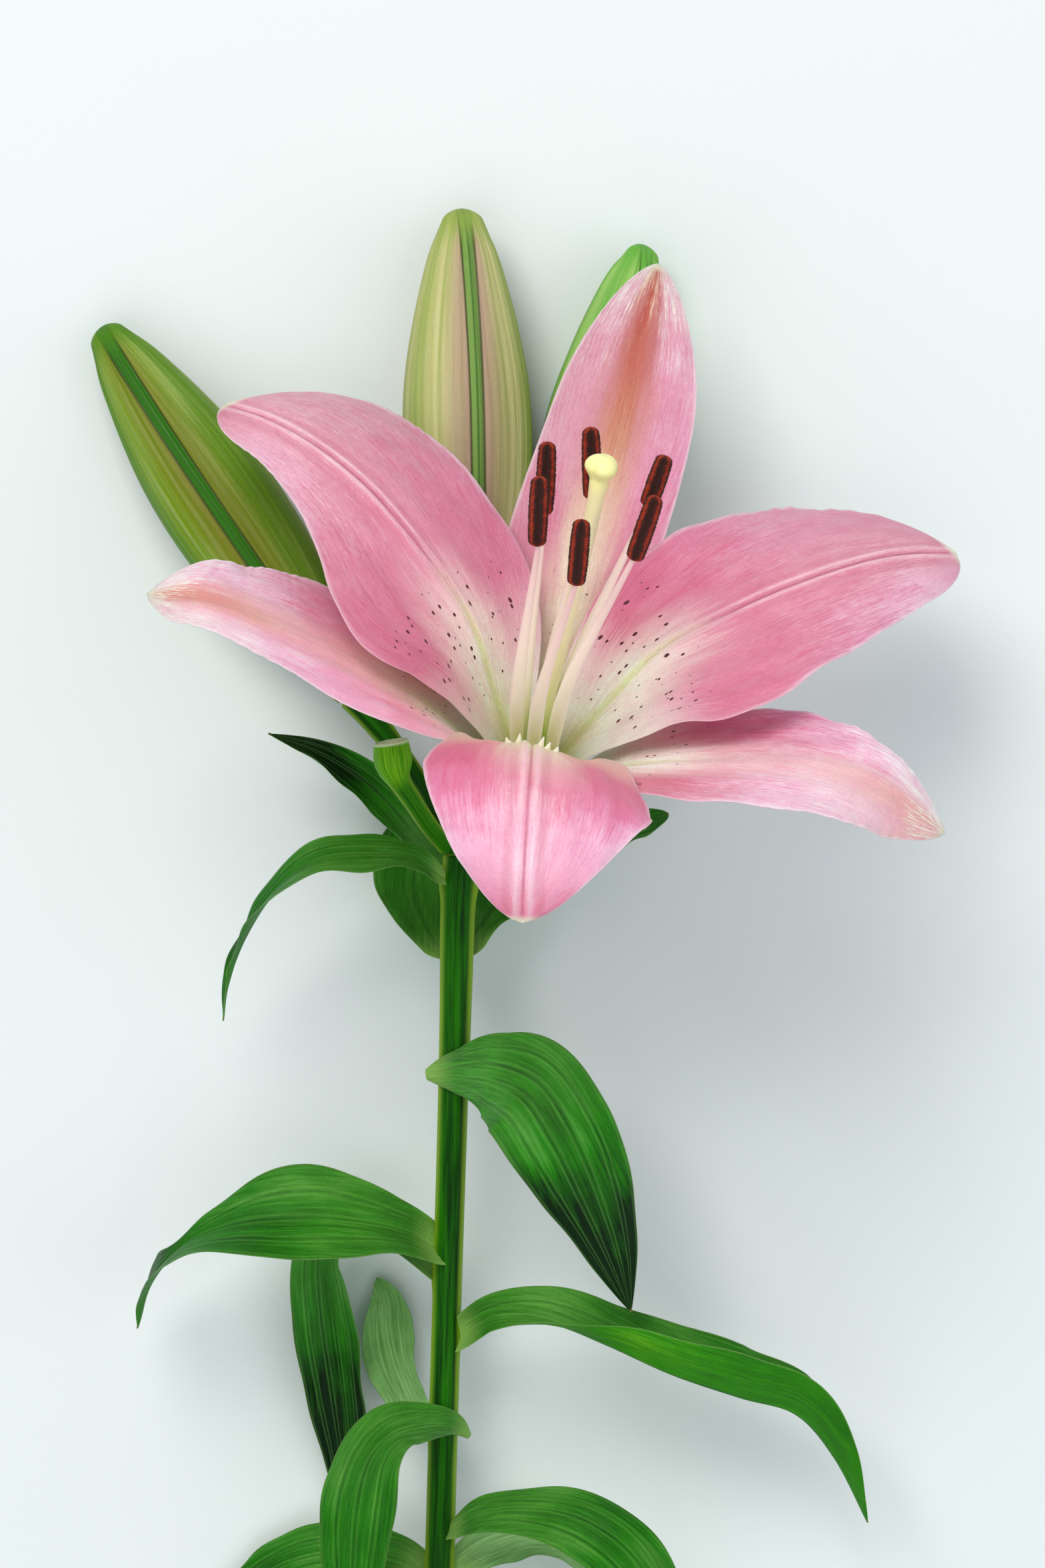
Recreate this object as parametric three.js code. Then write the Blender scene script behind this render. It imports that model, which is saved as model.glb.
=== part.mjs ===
// Cut pink lily laid flat: one open flower, three buds, a spent bud stub and a leafy stem.
// Millimetres, +Z up, +Y toward the flower, +X to the right seen from above.
import * as THREE from 'three';

// ---- driving dimensions (mm, degrees) ----
const GAP = 0.35;
const TEPAL_THICKNESS = 0.9;
const LEAF_THICKNESS = 0.7;

const STEM_PATH = [
  [-13.1, -15.3, 30], [-13.9, -28.4, 29.2], [-14.5, -53.6, 26.7], [-16.5, -118, 20.3],
  [-18, -169, 14.7], [-19.8, -233, 7.8], [-20.5, -271, 3.6],
];
const STEM_RADII = [3.9, 3.3, 3.15, 3.15, 3.2, 3.3, 3.4];

// The flower's own frame: receptacle centre, axis, and the front and right directions around it.
const FLOWER_CENTRE = [0.7, -3.5, 52.7];
const FLOWER_AXIS = [0.158, 0.77, 0.618];
const FLOWER_FRONT = [-0.124, -0.605, 0.786];
const FLOWER_RIGHT = [0.979, -0.2008, 0];

// Tepal paths are [along the axis, outward, sideways] at the azimuth given.
const PETAL = { width: 46, base: 0.17, peak: 0.5, rise: 1.7, tip: 0.62, cup: [50, 36, 6, -16, -12] };
const SEPAL = { width: 37, base: 0.2, peak: 0.48, rise: 1.8, tip: 0.65, cup: [46, 22, 2, 0, 0] };
const TEPALS = [
  { name: 'petal_front', kind: PETAL, azimuth: 0, width: 50, cup: [50, 28, -25, -22, -10],
    wide: [[0.95, 0.81, 0.9, 1.13, 1.2, 1.1], [0.95, 0.8, 0.76, 0.89, 0.95, 0.95]],
    path: [[0, 4.6, 0], [9, 5.8, 0], [18, 12, -0.5], [32.5, 24.5, -1.1], [41.9, 39.9, -0.8],
      [43.1, 54.2, 0.3], [36.4, 64.6, 2], [25.5, 70.6, 4]] },
  { name: 'petal_right', kind: PETAL, azimuth: 120, width: 48, tip: 0.5, cup: [50, 38, 10, -14, -12],
    wide: [[1, 1, 1.05, 1.2, 1.45, 1.6], [1, 1.4, 1.4, 1.02, 0.88, 0.9]],
    path: [[0, 4.6, 0], [9, 5.8, 0], [18, 11, 0.5], [33, 24.7, 2], [42.3, 40.4, 1.4],
      [47.3, 56.5, 2.5], [48.7, 74.9, 4.9], [45.8, 95.5, 8]] },
  { name: 'petal_left', kind: PETAL, azimuth: 240, tip: 0.5,
    wide: [[1, 1.5, 1.55, 0.85, 0.66, 0.85], [1, 1, 1.02, 1.15, 1.6, 2.2]],
    path: [[0, 4.6, 0], [9, 5.8, 0], [19, 11.5, 0], [33, 21.9, -0.7], [44.7, 38.7, -0.2],
      [50, 56.2, -2.2], [50.2, 75, -4.6], [46.1, 95.6, -6.8]] },
  { name: 'sepal_right', kind: SEPAL, azimuth: 60,
    wide: [[1, 1, 1.3, 1.3, 1, 0.9], [1, 1, 1, 1, 0.95, 0.9]],
    path: [[0, 6.2, 0], [7, 7.6, 0], [14, 12.5, 0], [23.3, 22.5, 0], [32.8, 39.5, 3.6],
      [38.6, 56.4, 9.8], [37.7, 69.3, 16.5], [27.9, 82.6, 27]] },
  { name: 'sepal_back', kind: SEPAL, azimuth: 180, width: 39,
    wide: [[1, 1, 0.9, 0.86, 0.95, 1], [1, 0.92, 0.77, 0.83, 1, 1.08]],
    path: [[0, 6.2, 0], [7, 8, 0], [14, 14.3, 0], [27, 27, -1], [42.4, 42, -2.3], [58, 58, -3.6],
      [71, 74.5, -4.1], [81, 87.2, -4.6]] },
  { name: 'sepal_left', kind: SEPAL, azimuth: 300, width: 43,
    wide: [[1, 1, 0.95, 0.9, 0.8, 0.75], [1, 1.3, 1.4, 1.4, 1.25, 1]],
    path: [[0, 6.2, 0], [7, 7.8, 0], [14, 12.8, -1], [25.5, 25, -5], [36, 43, -11], [43.4, 60, -18.3],
      [45, 70, -24.6], [41, 78, -33]] },
];

// Filaments rise from a ring round the ovary; points are [along the axis, front, right].
const FILAMENT_RING = 3.1;
const FILAMENT_RADII = [0.75, 1.0, 1.35, 1.2, 0.9, 0.65];
const ANTHER_RADII = [1.75, 1.9, 1.95, 1.95, 1.85, 1.6];
const STAMENS = [
  { name: 'front', azimuth: 0, mid: [39.2, 14.1, -1.4], top: [71.4, 21.2, 0.9],
    anther: [[72.9, 21.6, 1.1], [84.5, 15, -0.4]] },
  { name: 'front_right', azimuth: 60, mid: [38.6, 9.4, 3.6], top: [73.6, 12.0, 10.9],
    anther: [[75.2, 12.5, 11.4], [86.8, 5.2, 13.2]] },
  { name: 'back_right', azimuth: 120, mid: [38.2, 2.2, 3.85], top: [76, -2.8, 11.8],
    anther: [[77.6, -3.4, 12.1], [87.9, -7.6, 13.6]] },
  { name: 'back', azimuth: 180, mid: [36.3, -3.9, -0.6], top: [69.7, -10.6, 0.8],
    anther: [[71.2, -11.1, 0.9], [84.8, -16.7, -2.4]] },
  { name: 'back_left', azimuth: 240, mid: [35.5, 1.0, -5.4], top: [69, -3.2, -7.8],
    anther: [[70.5, -3.2, -8.1], [84.0, -9.7, -10.3]] },
  { name: 'front_left', azimuth: 300, mid: [37, 8.4, -6.4], top: [71.6, 11.2, -7.8],
    anther: [[73.2, 11.6, -8.1], [84.9, 4, -10.4]] },
];
const PISTIL_PATH = [[0.6, 0, 0], [20, 1.5, 0], [57, 4.6, 1.2], [75.6, 4.6, 1.5], [91.5, 2, 1.4]];
const PISTIL_RADII = [1.5, 1.8, 1.8, 1.45, 1.4, 1.4, 1.45, 1.5, 1.7, 3.0, 3.3, 2.1];

const BUDS = [
  { name: 'bud_left', from: [-37.2, 19.4, 16.4], to: [-91.5, 99.3, 8.4], radius: 12.4 },
  { name: 'bud_middle', from: [-11.2, 25.6, 15.3], to: [-13.3, 124.6, 12.4], radius: 13.5 },
  { name: 'bud_right', from: [5.3, 34.6, 12.6], to: [26.2, 117.2, 8.6], radius: 11.2 },
];
const BUD_PROFILE = [0.27, 0.5, 0.74, 0.9, 0.98, 1.02, 1.02, 0.97, 0.86, 0.71, 0.52, 0.22];

const STALKS = [
  { name: 'stalk_flower', radii: [1.7, 2, 2.6, 4.2],
    path: [[-12.2, -13.6, 35.5], [-8.6, -9, 43], [-4.4, -6.4, 48.4], [-0.6, -6.2, 50.6]] },
  { name: 'stalk_left', radii: [1.6, 1.8, 2, 2.6, 3.2],
    path: [[-17, -12, 30.2], [-20, -3, 27.2], [-25.2, 5.2, 22], [-31.2, 12.6, 18], [-36.6, 18.7, 16.5]] },
  { name: 'stalk_middle', radii: [1.6, 1.8, 2.2, 3.3],
    path: [[-13.6, -12.6, 27.6], [-12, -0.5, 23], [-11.2, 12.5, 18], [-11.2, 24.6, 15.4]] },
  { name: 'stalk_right', radii: [1.6, 1.8, 2, 2.6],
    path: [[-9.2, -13.2, 29.6], [-6.2, 0.6, 25], [-0.8, 17.2, 17.6], [5.1, 33.8, 12.8]] },
  { name: 'stalk_stub', radii: [1.8, 1.9, 2, 2.1, 2.4, 4, 3.7],
    path: [[-16.2, -13.4, 34.6], [-19.4, -9.4, 38], [-23, -4, 40.4], [-26.6, 2, 42], [-27.8, 9, 43]] },
];

// Leaves start at [y, angle round the stem, extra clearance], where 0 is right, 90 up, 180 left;
// the two without it start as a saddle across the front of the stem.
const LEAVES = [
  { name: 'leaf_top_left', at: [-20.5, 140, 0.8], width: 17, base: 0.14,
    roll: [-35, -50, -55, -70, -80, -80], cup: [15], fold: [8],
    wide: [[1, 1.1, 1.1, 1, 1], [0.8, 0.75, 0.6, 0.75, 1.1]],
    path: [[-23.1, -15.8, 40], [-33.6, -14.9, 46], [-44, -16.3, 48], [-52.3, -22.6, 46],
      [-58.8, -32.3, 41], [-62.6, -42.3, 36], [-63.8, -50.4, 32]] },
  { name: 'leaf_top_left_back', at: [-21, 190, 0.9], width: 13, base: 0.3, roll: [-40], cup: [30],
    fold: [12],
    path: [[-26, -9.5, 15], [-34, -1, 13], [-43.8, 5.9, 15], [-54.9, 10.9, 16]] },
  { name: 'leaf_top_right', at: [-21, -10, 0.8], width: 14, base: 0.28, peak: 0.55, tip: 0.55,
    roll: [50], cup: [15], wide: [[1], [1, 1.2]],
    path: [[-3.4, -17, 23], [9.5, -13.5, 18], [21.1, -9.8, 14.5], [31.6, -6.4, 12]] },
  { name: 'leaf_top_back', at: [-37, 265], width: 33, base: 0.22, peak: 0.36, roll: [0], cup: [20],
    wide: [[0.8, 1.2, 1.1], [0.8, 1.2, 1.1]],
    path: [[-14.8, -30, 17.5], [-14, -18, 8.5], [-12.2, -6.4, 4.5], [-10, 6.7, 2.5]] },
  { name: 'leaf_right_broad', width: 25.5, base: 0.1, peak: 0.42, roll: [0, 10, 15, 5, 0, 0],
    cup: [-40, -15, -15, -20, -10], wide: [[1, 1, 0.97, 0.94], [1, 1, 0.94, 0.94]],
    path: [[-20.6, -62.2, 27.6], [-14.8, -61.4, 32.2], [-6.8, -61.2, 40], [1.6, -64.4, 47.5],
      [8, -73.6, 52], [13.8, -86.1, 49.5], [19, -99.4, 45], [23, -111.8, 40]] },
  { name: 'leaf_left_broad', at: [-99.5, 165, 0.8], width: 24, base: 0.35, peak: 0.42, tip: 0.95,
    roll: [-45, -42, -34, -58, -82, -110], cup: [20, 15, 5, 10, 20], fold: [8],
    wide: [[1], [1, 0.88, 0.95, 1, 0.88, 0.55, 0.4, 1.7, 1.6]],
    path: [[-26.2, -95.3, 29], [-37.5, -92.8, 34], [-48.7, -92.2, 36], [-61.5, -93.6, 36],
      [-72, -98, 33], [-79.3, -106.4, 27], [-82.9, -117.1, 20]] },
  { name: 'leaf_right_long', at: [-119, 15, 1.6], width: 22, base: 0.3, peak: 0.5, tip: 0.8,
    roll: [20, 38, 84, 97, 98, 96, 92], cup: [25, 32, 30, 28, 25], fold: [12, 24, 38, 36, 24],
    wide: [[1, 0.95, 1.05, 1.25, 1.3, 1.1, 1], [1, 0.62, 0.8, 1, 1, 0.95]],
    path: [[-5.6, -114.2, 27], [5.1, -114.2, 33], [17.8, -118.7, 37], [32, -125, 38], [46.2, -130, 36],
      [58.4, -134, 33], [66.8, -144, 27], [74.3, -158.9, 20]] },
  { name: 'leaf_left_dark', at: [-106, 190, 0.8], width: 16, base: 0.32, peak: 0.5, tip: 0.8,
    roll: [-50, -45, -20, -10, 0], cup: [20], fold: [12],
    path: [[-28, -98.3, 15.5], [-36.6, -95.6, 14], [-42.6, -102.4, 12.5], [-42, -116.3, 10],
      [-40.2, -131.1, 7], [-38.7, -146.5, 4], [-38.4, -163.7, 2]] },
  { name: 'leaf_back_pale', at: [-139, 200, 1.2], width: 13, base: 0.3, peak: 0.55, tip: 0.7, roll: [0],
    cup: [20], wide: [[1], [0.9, 0.6, 0.9, 1]],
    path: [[-24, -133.8, 10], [-27.3, -126.8, 6.5], [-29.1, -119.8, 4.6], [-29.7, -112.6, 3.6],
      [-31.7, -107.7, 3.2]] },
  { name: 'leaf_front_left', width: 18, base: 0.1, peak: 0.45, roll: [0, -35, -45, -10, 0, 0],
    cup: [-30, 5, -20, -20], wide: [[0.6, 0.6, 0.95, 1, 1], [1]],
    path: [[-11.6, -140.8, 17.5], [-15.2, -137.8, 23.6], [-20.8, -136.9, 30.5], [-27.4, -137.9, 39],
      [-32.2, -142.6, 45], [-34.6, -150.6, 48], [-35.6, -160.4, 48], [-36, -172.2, 44],
      [-37.1, -184.7, 36]] },
  { name: 'leaf_right_low', at: [-161.5, 55, 0.9], width: 19, base: 0.2, peak: 0.45,
    roll: [45, 50, 30, 10, 0], cup: [15, -10, -10], wide: [[0.8, 0.75, 0.85, 1], [0.8, 0.9, 1, 1]],
    path: [[-7.7, -155.7, 28], [3.7, -154.1, 36], [13.5, -156, 41], [22, -161.8, 43],
      [28.4, -171.4, 40], [32.1, -182.2, 34], [33.7, -193.2, 27]] },
  { name: 'leaf_right_low_back', at: [-170, 330], width: 14, base: 0.35, peak: 0.45,
    roll: [30, 40, 60, 90], cup: [15],
    path: [[-7.8, -165.6, 10.5], [0.9, -162.9, 9.5], [9.6, -164.6, 8.5], [16.1, -171.5, 6.5],
      [20.5, -181, 4]] },
  { name: 'leaf_left_low', at: [-170.5, 205], width: 15, base: 0.4, peak: 0.45, roll: [-40], cup: [15],
    path: [[-28, -166.9, 12], [-38.2, -166.5, 11], [-49.8, -168.8, 9], [-60.1, -174.5, 6.6],
      [-67.5, -182.4, 4.5]] },
];

// ---- materials ----
const FINISHES = {
  petal: { color: 0xde82a5, roughness: 0.55 },
  leaf: { color: 0x2c8230, roughness: 0.45 },
  stem: { color: 0x4f9030, roughness: 0.45 },
  bud: { color: 0xa3ad68, roughness: 0.5 },
  filament: { color: 0xecd0bc, roughness: 0.5 },
  anther: { color: 0x5e1208, roughness: 0.85 },
  pistil: { color: 0xe2e3a8, roughness: 0.4 },
};

// ---- small helpers ----
const vec = (p) => new THREE.Vector3(p[0], p[1], p[2]);
const radians = THREE.MathUtils.degToRad;
const AXIS = vec(FLOWER_AXIS);
const FRONT = vec(FLOWER_FRONT);
const RIGHT = vec(FLOWER_RIGHT);

function curve(points) {
  return new THREE.CatmullRomCurve3(points.map(vec), false, 'catmullrom', 0.5);
}

// Value at s (0..1) of a smooth run through evenly spaced numbers.
function ease(values, s) {
  if (values.length === 1) return values[0];
  const x = s * (values.length - 1);
  const i = Math.min(Math.floor(x), values.length - 2);
  const t = x - i;
  const last = values.length - 1;
  const b = values[i];
  const c = values[i + 1];
  const a = i > 0 ? values[i - 1] : 2 * values[0] - values[1];
  const d = i + 2 <= last ? values[i + 2] : 2 * values[last] - values[last - 1];
  const m1 = (c - a) / 2;
  const m2 = (d - b) / 2;
  return b + m1 * t + (3 * (c - b) - 2 * m1 - m2) * t ** 2 + (2 * (b - c) + m1 + m2) * t ** 3;
}

// Blade half-width as a fraction of the widest: rises from the base, then closes to the tip.
function outline(s, base, peak, rise, tip) {
  if (s < peak) return base + (1 - base) * Math.sin((Math.PI / 2) * (s / peak)) ** rise;
  return Math.cos((Math.PI / 2) * ((s - peak) / (1 - peak))) ** tip;
}

// Closed body through rings of equal point count, with a centre fan at each end.
function loft(rings) {
  const count = rings[0].length;
  const positions = [];
  const index = [];
  const push = (p) => positions.push(p.x, p.y, p.z);
  rings.forEach((ring) => ring.forEach(push));
  for (let i = 0; i < rings.length - 1; i += 1) {
    for (let j = 0; j < count; j += 1) {
      const k = (j + 1) % count;
      const a = i * count + j;
      const b = i * count + k;
      index.push(a, b, b + count, a, b + count, a + count);
    }
  }
  [0, rings.length - 1].forEach((end) => {
    const middle = new THREE.Vector3();
    rings[end].forEach((p) => middle.addScaledVector(p, 1 / count));
    const hub = positions.length / 3;
    push(middle);
    for (let j = 0; j < count; j += 1) {
      const a = end * count + j;
      const b = end * count + ((j + 1) % count);
      if (end === 0) index.push(hub, b, a);
      else index.push(hub, a, b);
    }
  });
  const geometry = new THREE.BufferGeometry();
  geometry.setAttribute('position', new THREE.Float32BufferAttribute(positions, 3));
  geometry.setIndex(index);
  geometry.computeVertexNormals();
  return geometry;
}

// Round body along a path; shape(angle, s) scales the radius.
function tube(points, radii, steps, sides, shape = () => 1) {
  const line = curve(points);
  const rings = [];
  for (let i = 0; i <= steps; i += 1) {
    const s = i / steps;
    const centre = line.getPointAt(s);
    const along = line.getTangentAt(s);
    const across = new THREE.Vector3().crossVectors(along, new THREE.Vector3(0, 0, 1)).normalize();
    const up = new THREE.Vector3().crossVectors(across, along);
    const radius = ease(radii, s);
    const ring = [];
    for (let j = 0; j < sides; j += 1) {
      const angle = (2 * Math.PI * j) / sides;
      const r = radius * shape(angle, s);
      ring.push(centre.clone()
        .addScaledVector(across, -r * Math.cos(angle))
        .addScaledVector(up, r * Math.sin(angle)));
    }
    rings.push(ring);
  }
  return loft(rings);
}

// Thin curved blade: an arc across (cup, fold) carried along a path and rolled about it.
// spec.wide scales the half-width along the path on either side of the midrib.
// spec.wide scales the half-width along the path on either side of the midrib.
// spec.wide scales the half-width along the path on either side of the midrib.
// spec.wide scales the half-width along the path on either side of the midrib.
// spec.wide scales the half-width along the path on either side of the midrib.
function blade(spec, steps, across, thickness) {
  const line = curve(spec.path);
  const rings = [];
  for (let i = 0; i <= steps; i += 1) {
    const s = i / steps;
    const centre = line.getPointAt(s);
    const along = line.getTangentAt(s);
    const normal = spec.side
      ? new THREE.Vector3().crossVectors(along, spec.side).normalize()
      : new THREE.Vector3(0, 0, 1).addScaledVector(along, -along.z).normalize();
    const lateral = new THREE.Vector3().crossVectors(along, normal);
    const roll = radians(ease(spec.roll ?? [0], s));
    const side = lateral.clone().multiplyScalar(Math.cos(roll)).addScaledVector(normal, Math.sin(roll));
    const face = normal.clone().multiplyScalar(Math.cos(roll)).addScaledVector(lateral, -Math.sin(roll));
    const shape = outline(s, spec.base, spec.peak ?? 0.42, spec.rise ?? 1, spec.tip ?? 0.9);
    const half = Math.max((spec.width / 2) * shape, 0.3);
    const cup = radians(ease(spec.cup ?? [0], s)) || 0.001;
    const fold = radians(ease(spec.fold ?? [0], s));
    const [low, high] = (spec.wide ?? [[1], [1]]).map((knots) => ease(knots, s));
    const upper = [];
    const lower = [];
    for (let j = 0; j <= across; j += 1) {
      const v = (2 * j) / across - 1;
      const reach = half * (low + (high - low) * THREE.MathUtils.smoothstep(v, -0.35, 0.35));
      const turn = fold + cup * Math.abs(v);
      const x = (Math.sign(v) * reach * (Math.sin(turn) - Math.sin(fold))) / cup;
      const h = (reach * (Math.cos(fold) - Math.cos(turn))) / cup;
      const thick = (thickness / 2) * (1 - 0.45 * v * v) * (1 - 0.4 * s);
      const out = side.clone().multiplyScalar(-Math.sin(turn) * Math.sign(v))
        .addScaledVector(face, Math.cos(turn));
      const point = centre.clone().addScaledVector(side, x).addScaledVector(face, h);
      upper.push(point.clone().addScaledVector(out, thick));
      lower.push(point.clone().addScaledVector(out, -thick));
    }
    rings.push([...upper, ...lower.reverse()]);
  }
  return loft(rings);
}

function mesh(name, geometry, finish) {
  const { color, roughness } = FINISHES[finish];
  const material = new THREE.MeshStandardMaterial({ color, roughness, metalness: 0 });
  const body = new THREE.Mesh(geometry, material);
  body.name = name;
  return body;
}

// ---- the flower's frame and the stem's surface ----
const inFlower = (along, front, right) => vec(FLOWER_CENTRE)
  .addScaledVector(AXIS, along).addScaledVector(FRONT, front).addScaledVector(RIGHT, right)
  .toArray();

function tepalPoint(azimuth, [along, out, sideways]) {
  const a = radians(azimuth);
  const front = out * Math.cos(a) - sideways * Math.sin(a);
  const right = out * Math.sin(a) + sideways * Math.cos(a);
  return inFlower(along, front, right);
}

// Point clear of the stem's surface at height y and angle round it.
function onStem(y, angle, clearance = 0) {
  const line = curve(STEM_PATH);
  let low = 0;
  let high = 1;
  for (let i = 0; i < 30; i += 1) {
    const middle = (low + high) / 2;
    if (line.getPointAt(middle).y > y) low = middle;
    else high = middle;
  }
  const centre = line.getPointAt(low);
  const reach = ease(STEM_RADII, low) + GAP + LEAF_THICKNESS + clearance;
  const a = radians(angle);
  return [centre.x + reach * Math.cos(a), y, centre.z + reach * Math.sin(a)];
}

// ---- assembly ----
const part = new THREE.Group();
part.name = 'pink_lily';

part.add(mesh('stem', tube(STEM_PATH, STEM_RADII, 22, 12), 'stem'));
STALKS.forEach((s) => part.add(mesh(s.name, tube(s.path, s.radii, 8, 8), 'stem')));

const keels = (angle, s) => 1 + 0.05 * Math.cos(3 * (angle - Math.PI / 2)) * Math.sin(Math.PI * s);
BUDS.forEach((b) => {
  const radii = BUD_PROFILE.map((r) => r * b.radius);
  part.add(mesh(b.name, tube([b.from, b.to], radii, 14, 12, keels), 'bud'));
});

TEPALS.forEach((t) => {
  const a = radians(t.azimuth);
  const side = RIGHT.clone().multiplyScalar(Math.cos(a)).addScaledVector(FRONT, -Math.sin(a));
  const path = t.path.map((p) => tepalPoint(t.azimuth, p));
  const spec = { ...t.kind, ...t, path, side };
  part.add(mesh(t.name, blade(spec, 16, 6, TEPAL_THICKNESS), 'petal'));
});

STAMENS.forEach((st) => {
  const foot = tepalPoint(st.azimuth, [1.2, FILAMENT_RING, 0]);
  const neck = tepalPoint(st.azimuth, [9, FILAMENT_RING + 0.65, 0]);
  const path = [foot, neck, inFlower(...st.mid), inFlower(...st.top)];
  part.add(mesh(`filament_${st.name}`, tube(path, FILAMENT_RADII, 9, 6), 'filament'));
  const anther = st.anther.map((p) => inFlower(...p));
  part.add(mesh(`anther_${st.name}`, tube(anther, ANTHER_RADII, 6, 8), 'anther'));
});

const lobes = (angle, s) => 1 + 0.14 * Math.cos(3 * angle) * THREE.MathUtils.smoothstep(s, 0.9, 1);
const pistil = PISTIL_PATH.map((p) => inFlower(...p));
part.add(mesh('pistil', tube(pistil, PISTIL_RADII, 18, 12, lobes), 'pistil'));

LEAVES.forEach((l) => {
  const spec = { ...l, path: l.at ? [onStem(...l.at), ...l.path] : l.path };
  part.add(mesh(l.name, blade(spec, 12, 4, LEAF_THICKNESS), 'leaf'));
});

// Rest the lowest point on z = 0 and centre the whole over the origin.
const bounds = new THREE.Box3().setFromObject(part);
const centre = bounds.getCenter(new THREE.Vector3());
part.children.forEach((body) => body.geometry.translate(-centre.x, -centre.y, -bounds.min.z));

export default part;
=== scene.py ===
import math

import bpy
import numpy as np
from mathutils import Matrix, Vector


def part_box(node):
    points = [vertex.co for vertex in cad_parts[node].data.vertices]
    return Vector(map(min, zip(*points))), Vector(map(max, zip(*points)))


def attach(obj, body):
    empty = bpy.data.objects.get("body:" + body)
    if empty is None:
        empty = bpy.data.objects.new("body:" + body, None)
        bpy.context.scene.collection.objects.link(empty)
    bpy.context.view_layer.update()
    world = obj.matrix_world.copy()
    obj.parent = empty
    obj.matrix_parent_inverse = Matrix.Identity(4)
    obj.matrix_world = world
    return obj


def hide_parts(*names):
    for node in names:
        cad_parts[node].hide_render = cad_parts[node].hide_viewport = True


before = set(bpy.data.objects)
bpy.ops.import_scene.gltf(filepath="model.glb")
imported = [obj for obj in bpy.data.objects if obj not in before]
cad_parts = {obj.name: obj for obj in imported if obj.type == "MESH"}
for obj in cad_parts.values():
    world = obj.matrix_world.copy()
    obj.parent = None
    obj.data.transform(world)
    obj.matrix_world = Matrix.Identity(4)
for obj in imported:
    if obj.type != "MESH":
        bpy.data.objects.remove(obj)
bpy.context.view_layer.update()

# Cut pink lily lying flat. Shapes are computed in millimetres in the flower's working frame,
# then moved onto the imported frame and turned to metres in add_piece.
MM = 0.001

# ---- driving dimensions, the same as the solids' (mm, degrees) ----
STEM_PATH = [
    (-13.1, -15.3, 30), (-13.9, -28.4, 29.2), (-14.5, -53.6, 26.7), (-16.5, -118, 20.3),
    (-18, -169, 14.7), (-19.8, -233, 7.8), (-20.5, -271, 3.6)]
STEM_RADII = [3.9, 3.3, 3.15, 3.15, 3.2, 3.3, 3.4]
# Length along the stem for each mm of drop in y.
STEM_SLOPE = 1.004

FLOWER_CENTRE = np.array([0.7, -3.5, 52.7])
FLOWER_AXIS = np.array([0.158, 0.77, 0.618])
FLOWER_FRONT = np.array([-0.124, -0.605, 0.786])
FLOWER_RIGHT = np.array([0.979, -0.2008, 0.0])

# Tepal paths are (along the axis, outward, sideways) at the azimuth given.
PETAL = dict(width=46, base=0.17, peak=0.5, rise=1.7, tip=0.62, cup=[50, 36, 6, -16, -12])
SEPAL = dict(width=37, base=0.2, peak=0.48, rise=1.8, tip=0.65, cup=[46, 22, 2, 0, 0])
TEPALS = [
    dict(PETAL, name="petal_front", azimuth=0, width=50, cup=[50, 28, -25, -22, -10], path=[
        (0, 4.6, 0), (9, 5.8, 0), (18, 12, -0.5), (32.5, 24.5, -1.1), (41.9, 39.9, -0.8),
        (43.1, 54.2, 0.3), (36.4, 64.6, 2), (25.5, 70.6, 4)],
        wide=([0.95, 0.81, 0.9, 1.13, 1.2, 1.1], [0.95, 0.8, 0.76, 0.89, 0.95, 0.95])),
    dict(PETAL, name="petal_right", azimuth=120, width=48, tip=0.5, cup=[50, 38, 10, -14, -12],
         wide=([1, 1, 1.05, 1.2, 1.45, 1.6], [1, 1.4, 1.4, 1.02, 0.88, 0.9]), path=[
        (0, 4.6, 0), (9, 5.8, 0), (18, 11, 0.5), (33, 24.7, 2), (42.3, 40.4, 1.4),
        (47.3, 56.5, 2.5), (48.7, 74.9, 4.9), (45.8, 95.5, 8)]),
    dict(PETAL, name="petal_left", azimuth=240, tip=0.5,
         wide=([1, 1.5, 1.55, 0.85, 0.66, 0.85], [1, 1, 1.02, 1.15, 1.6, 2.2]), path=[
        (0, 4.6, 0), (9, 5.8, 0), (19, 11.5, 0), (33, 21.9, -0.7), (44.7, 38.7, -0.2),
        (50, 56.2, -2.2), (50.2, 75, -4.6), (46.1, 95.6, -6.8)]),
    dict(SEPAL, name="sepal_right", azimuth=60,
         wide=([1, 1, 1.3, 1.3, 1, 0.9], [1, 1, 1, 1, 0.95, 0.9]), path=[
        (0, 6.2, 0), (7, 7.6, 0), (14, 12.5, 0), (23.3, 22.5, 0), (32.8, 39.5, 3.6),
        (38.6, 56.4, 9.8), (37.7, 69.3, 16.5), (27.9, 82.6, 27)]),
    dict(SEPAL, name="sepal_back", azimuth=180, width=39,
         wide=([1, 1, 0.9, 0.86, 0.95, 1], [1, 0.92, 0.77, 0.83, 1, 1.08]), path=[
        (0, 6.2, 0), (7, 8, 0), (14, 14.3, 0), (27, 27, -1), (42.4, 42, -2.3),
        (58, 58, -3.6), (71, 74.5, -4.1), (81, 87.2, -4.6)]),
    dict(SEPAL, name="sepal_left", azimuth=300, width=43,
         wide=([1, 1, 0.95, 0.9, 0.8, 0.75], [1, 1.3, 1.4, 1.4, 1.25, 1]), path=[
        (0, 6.2, 0), (7, 7.8, 0), (14, 12.8, -1), (25.5, 25, -5), (36, 43, -11),
        (43.4, 60, -18.3), (45, 70, -24.6), (41, 78, -33)]),
]

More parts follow.
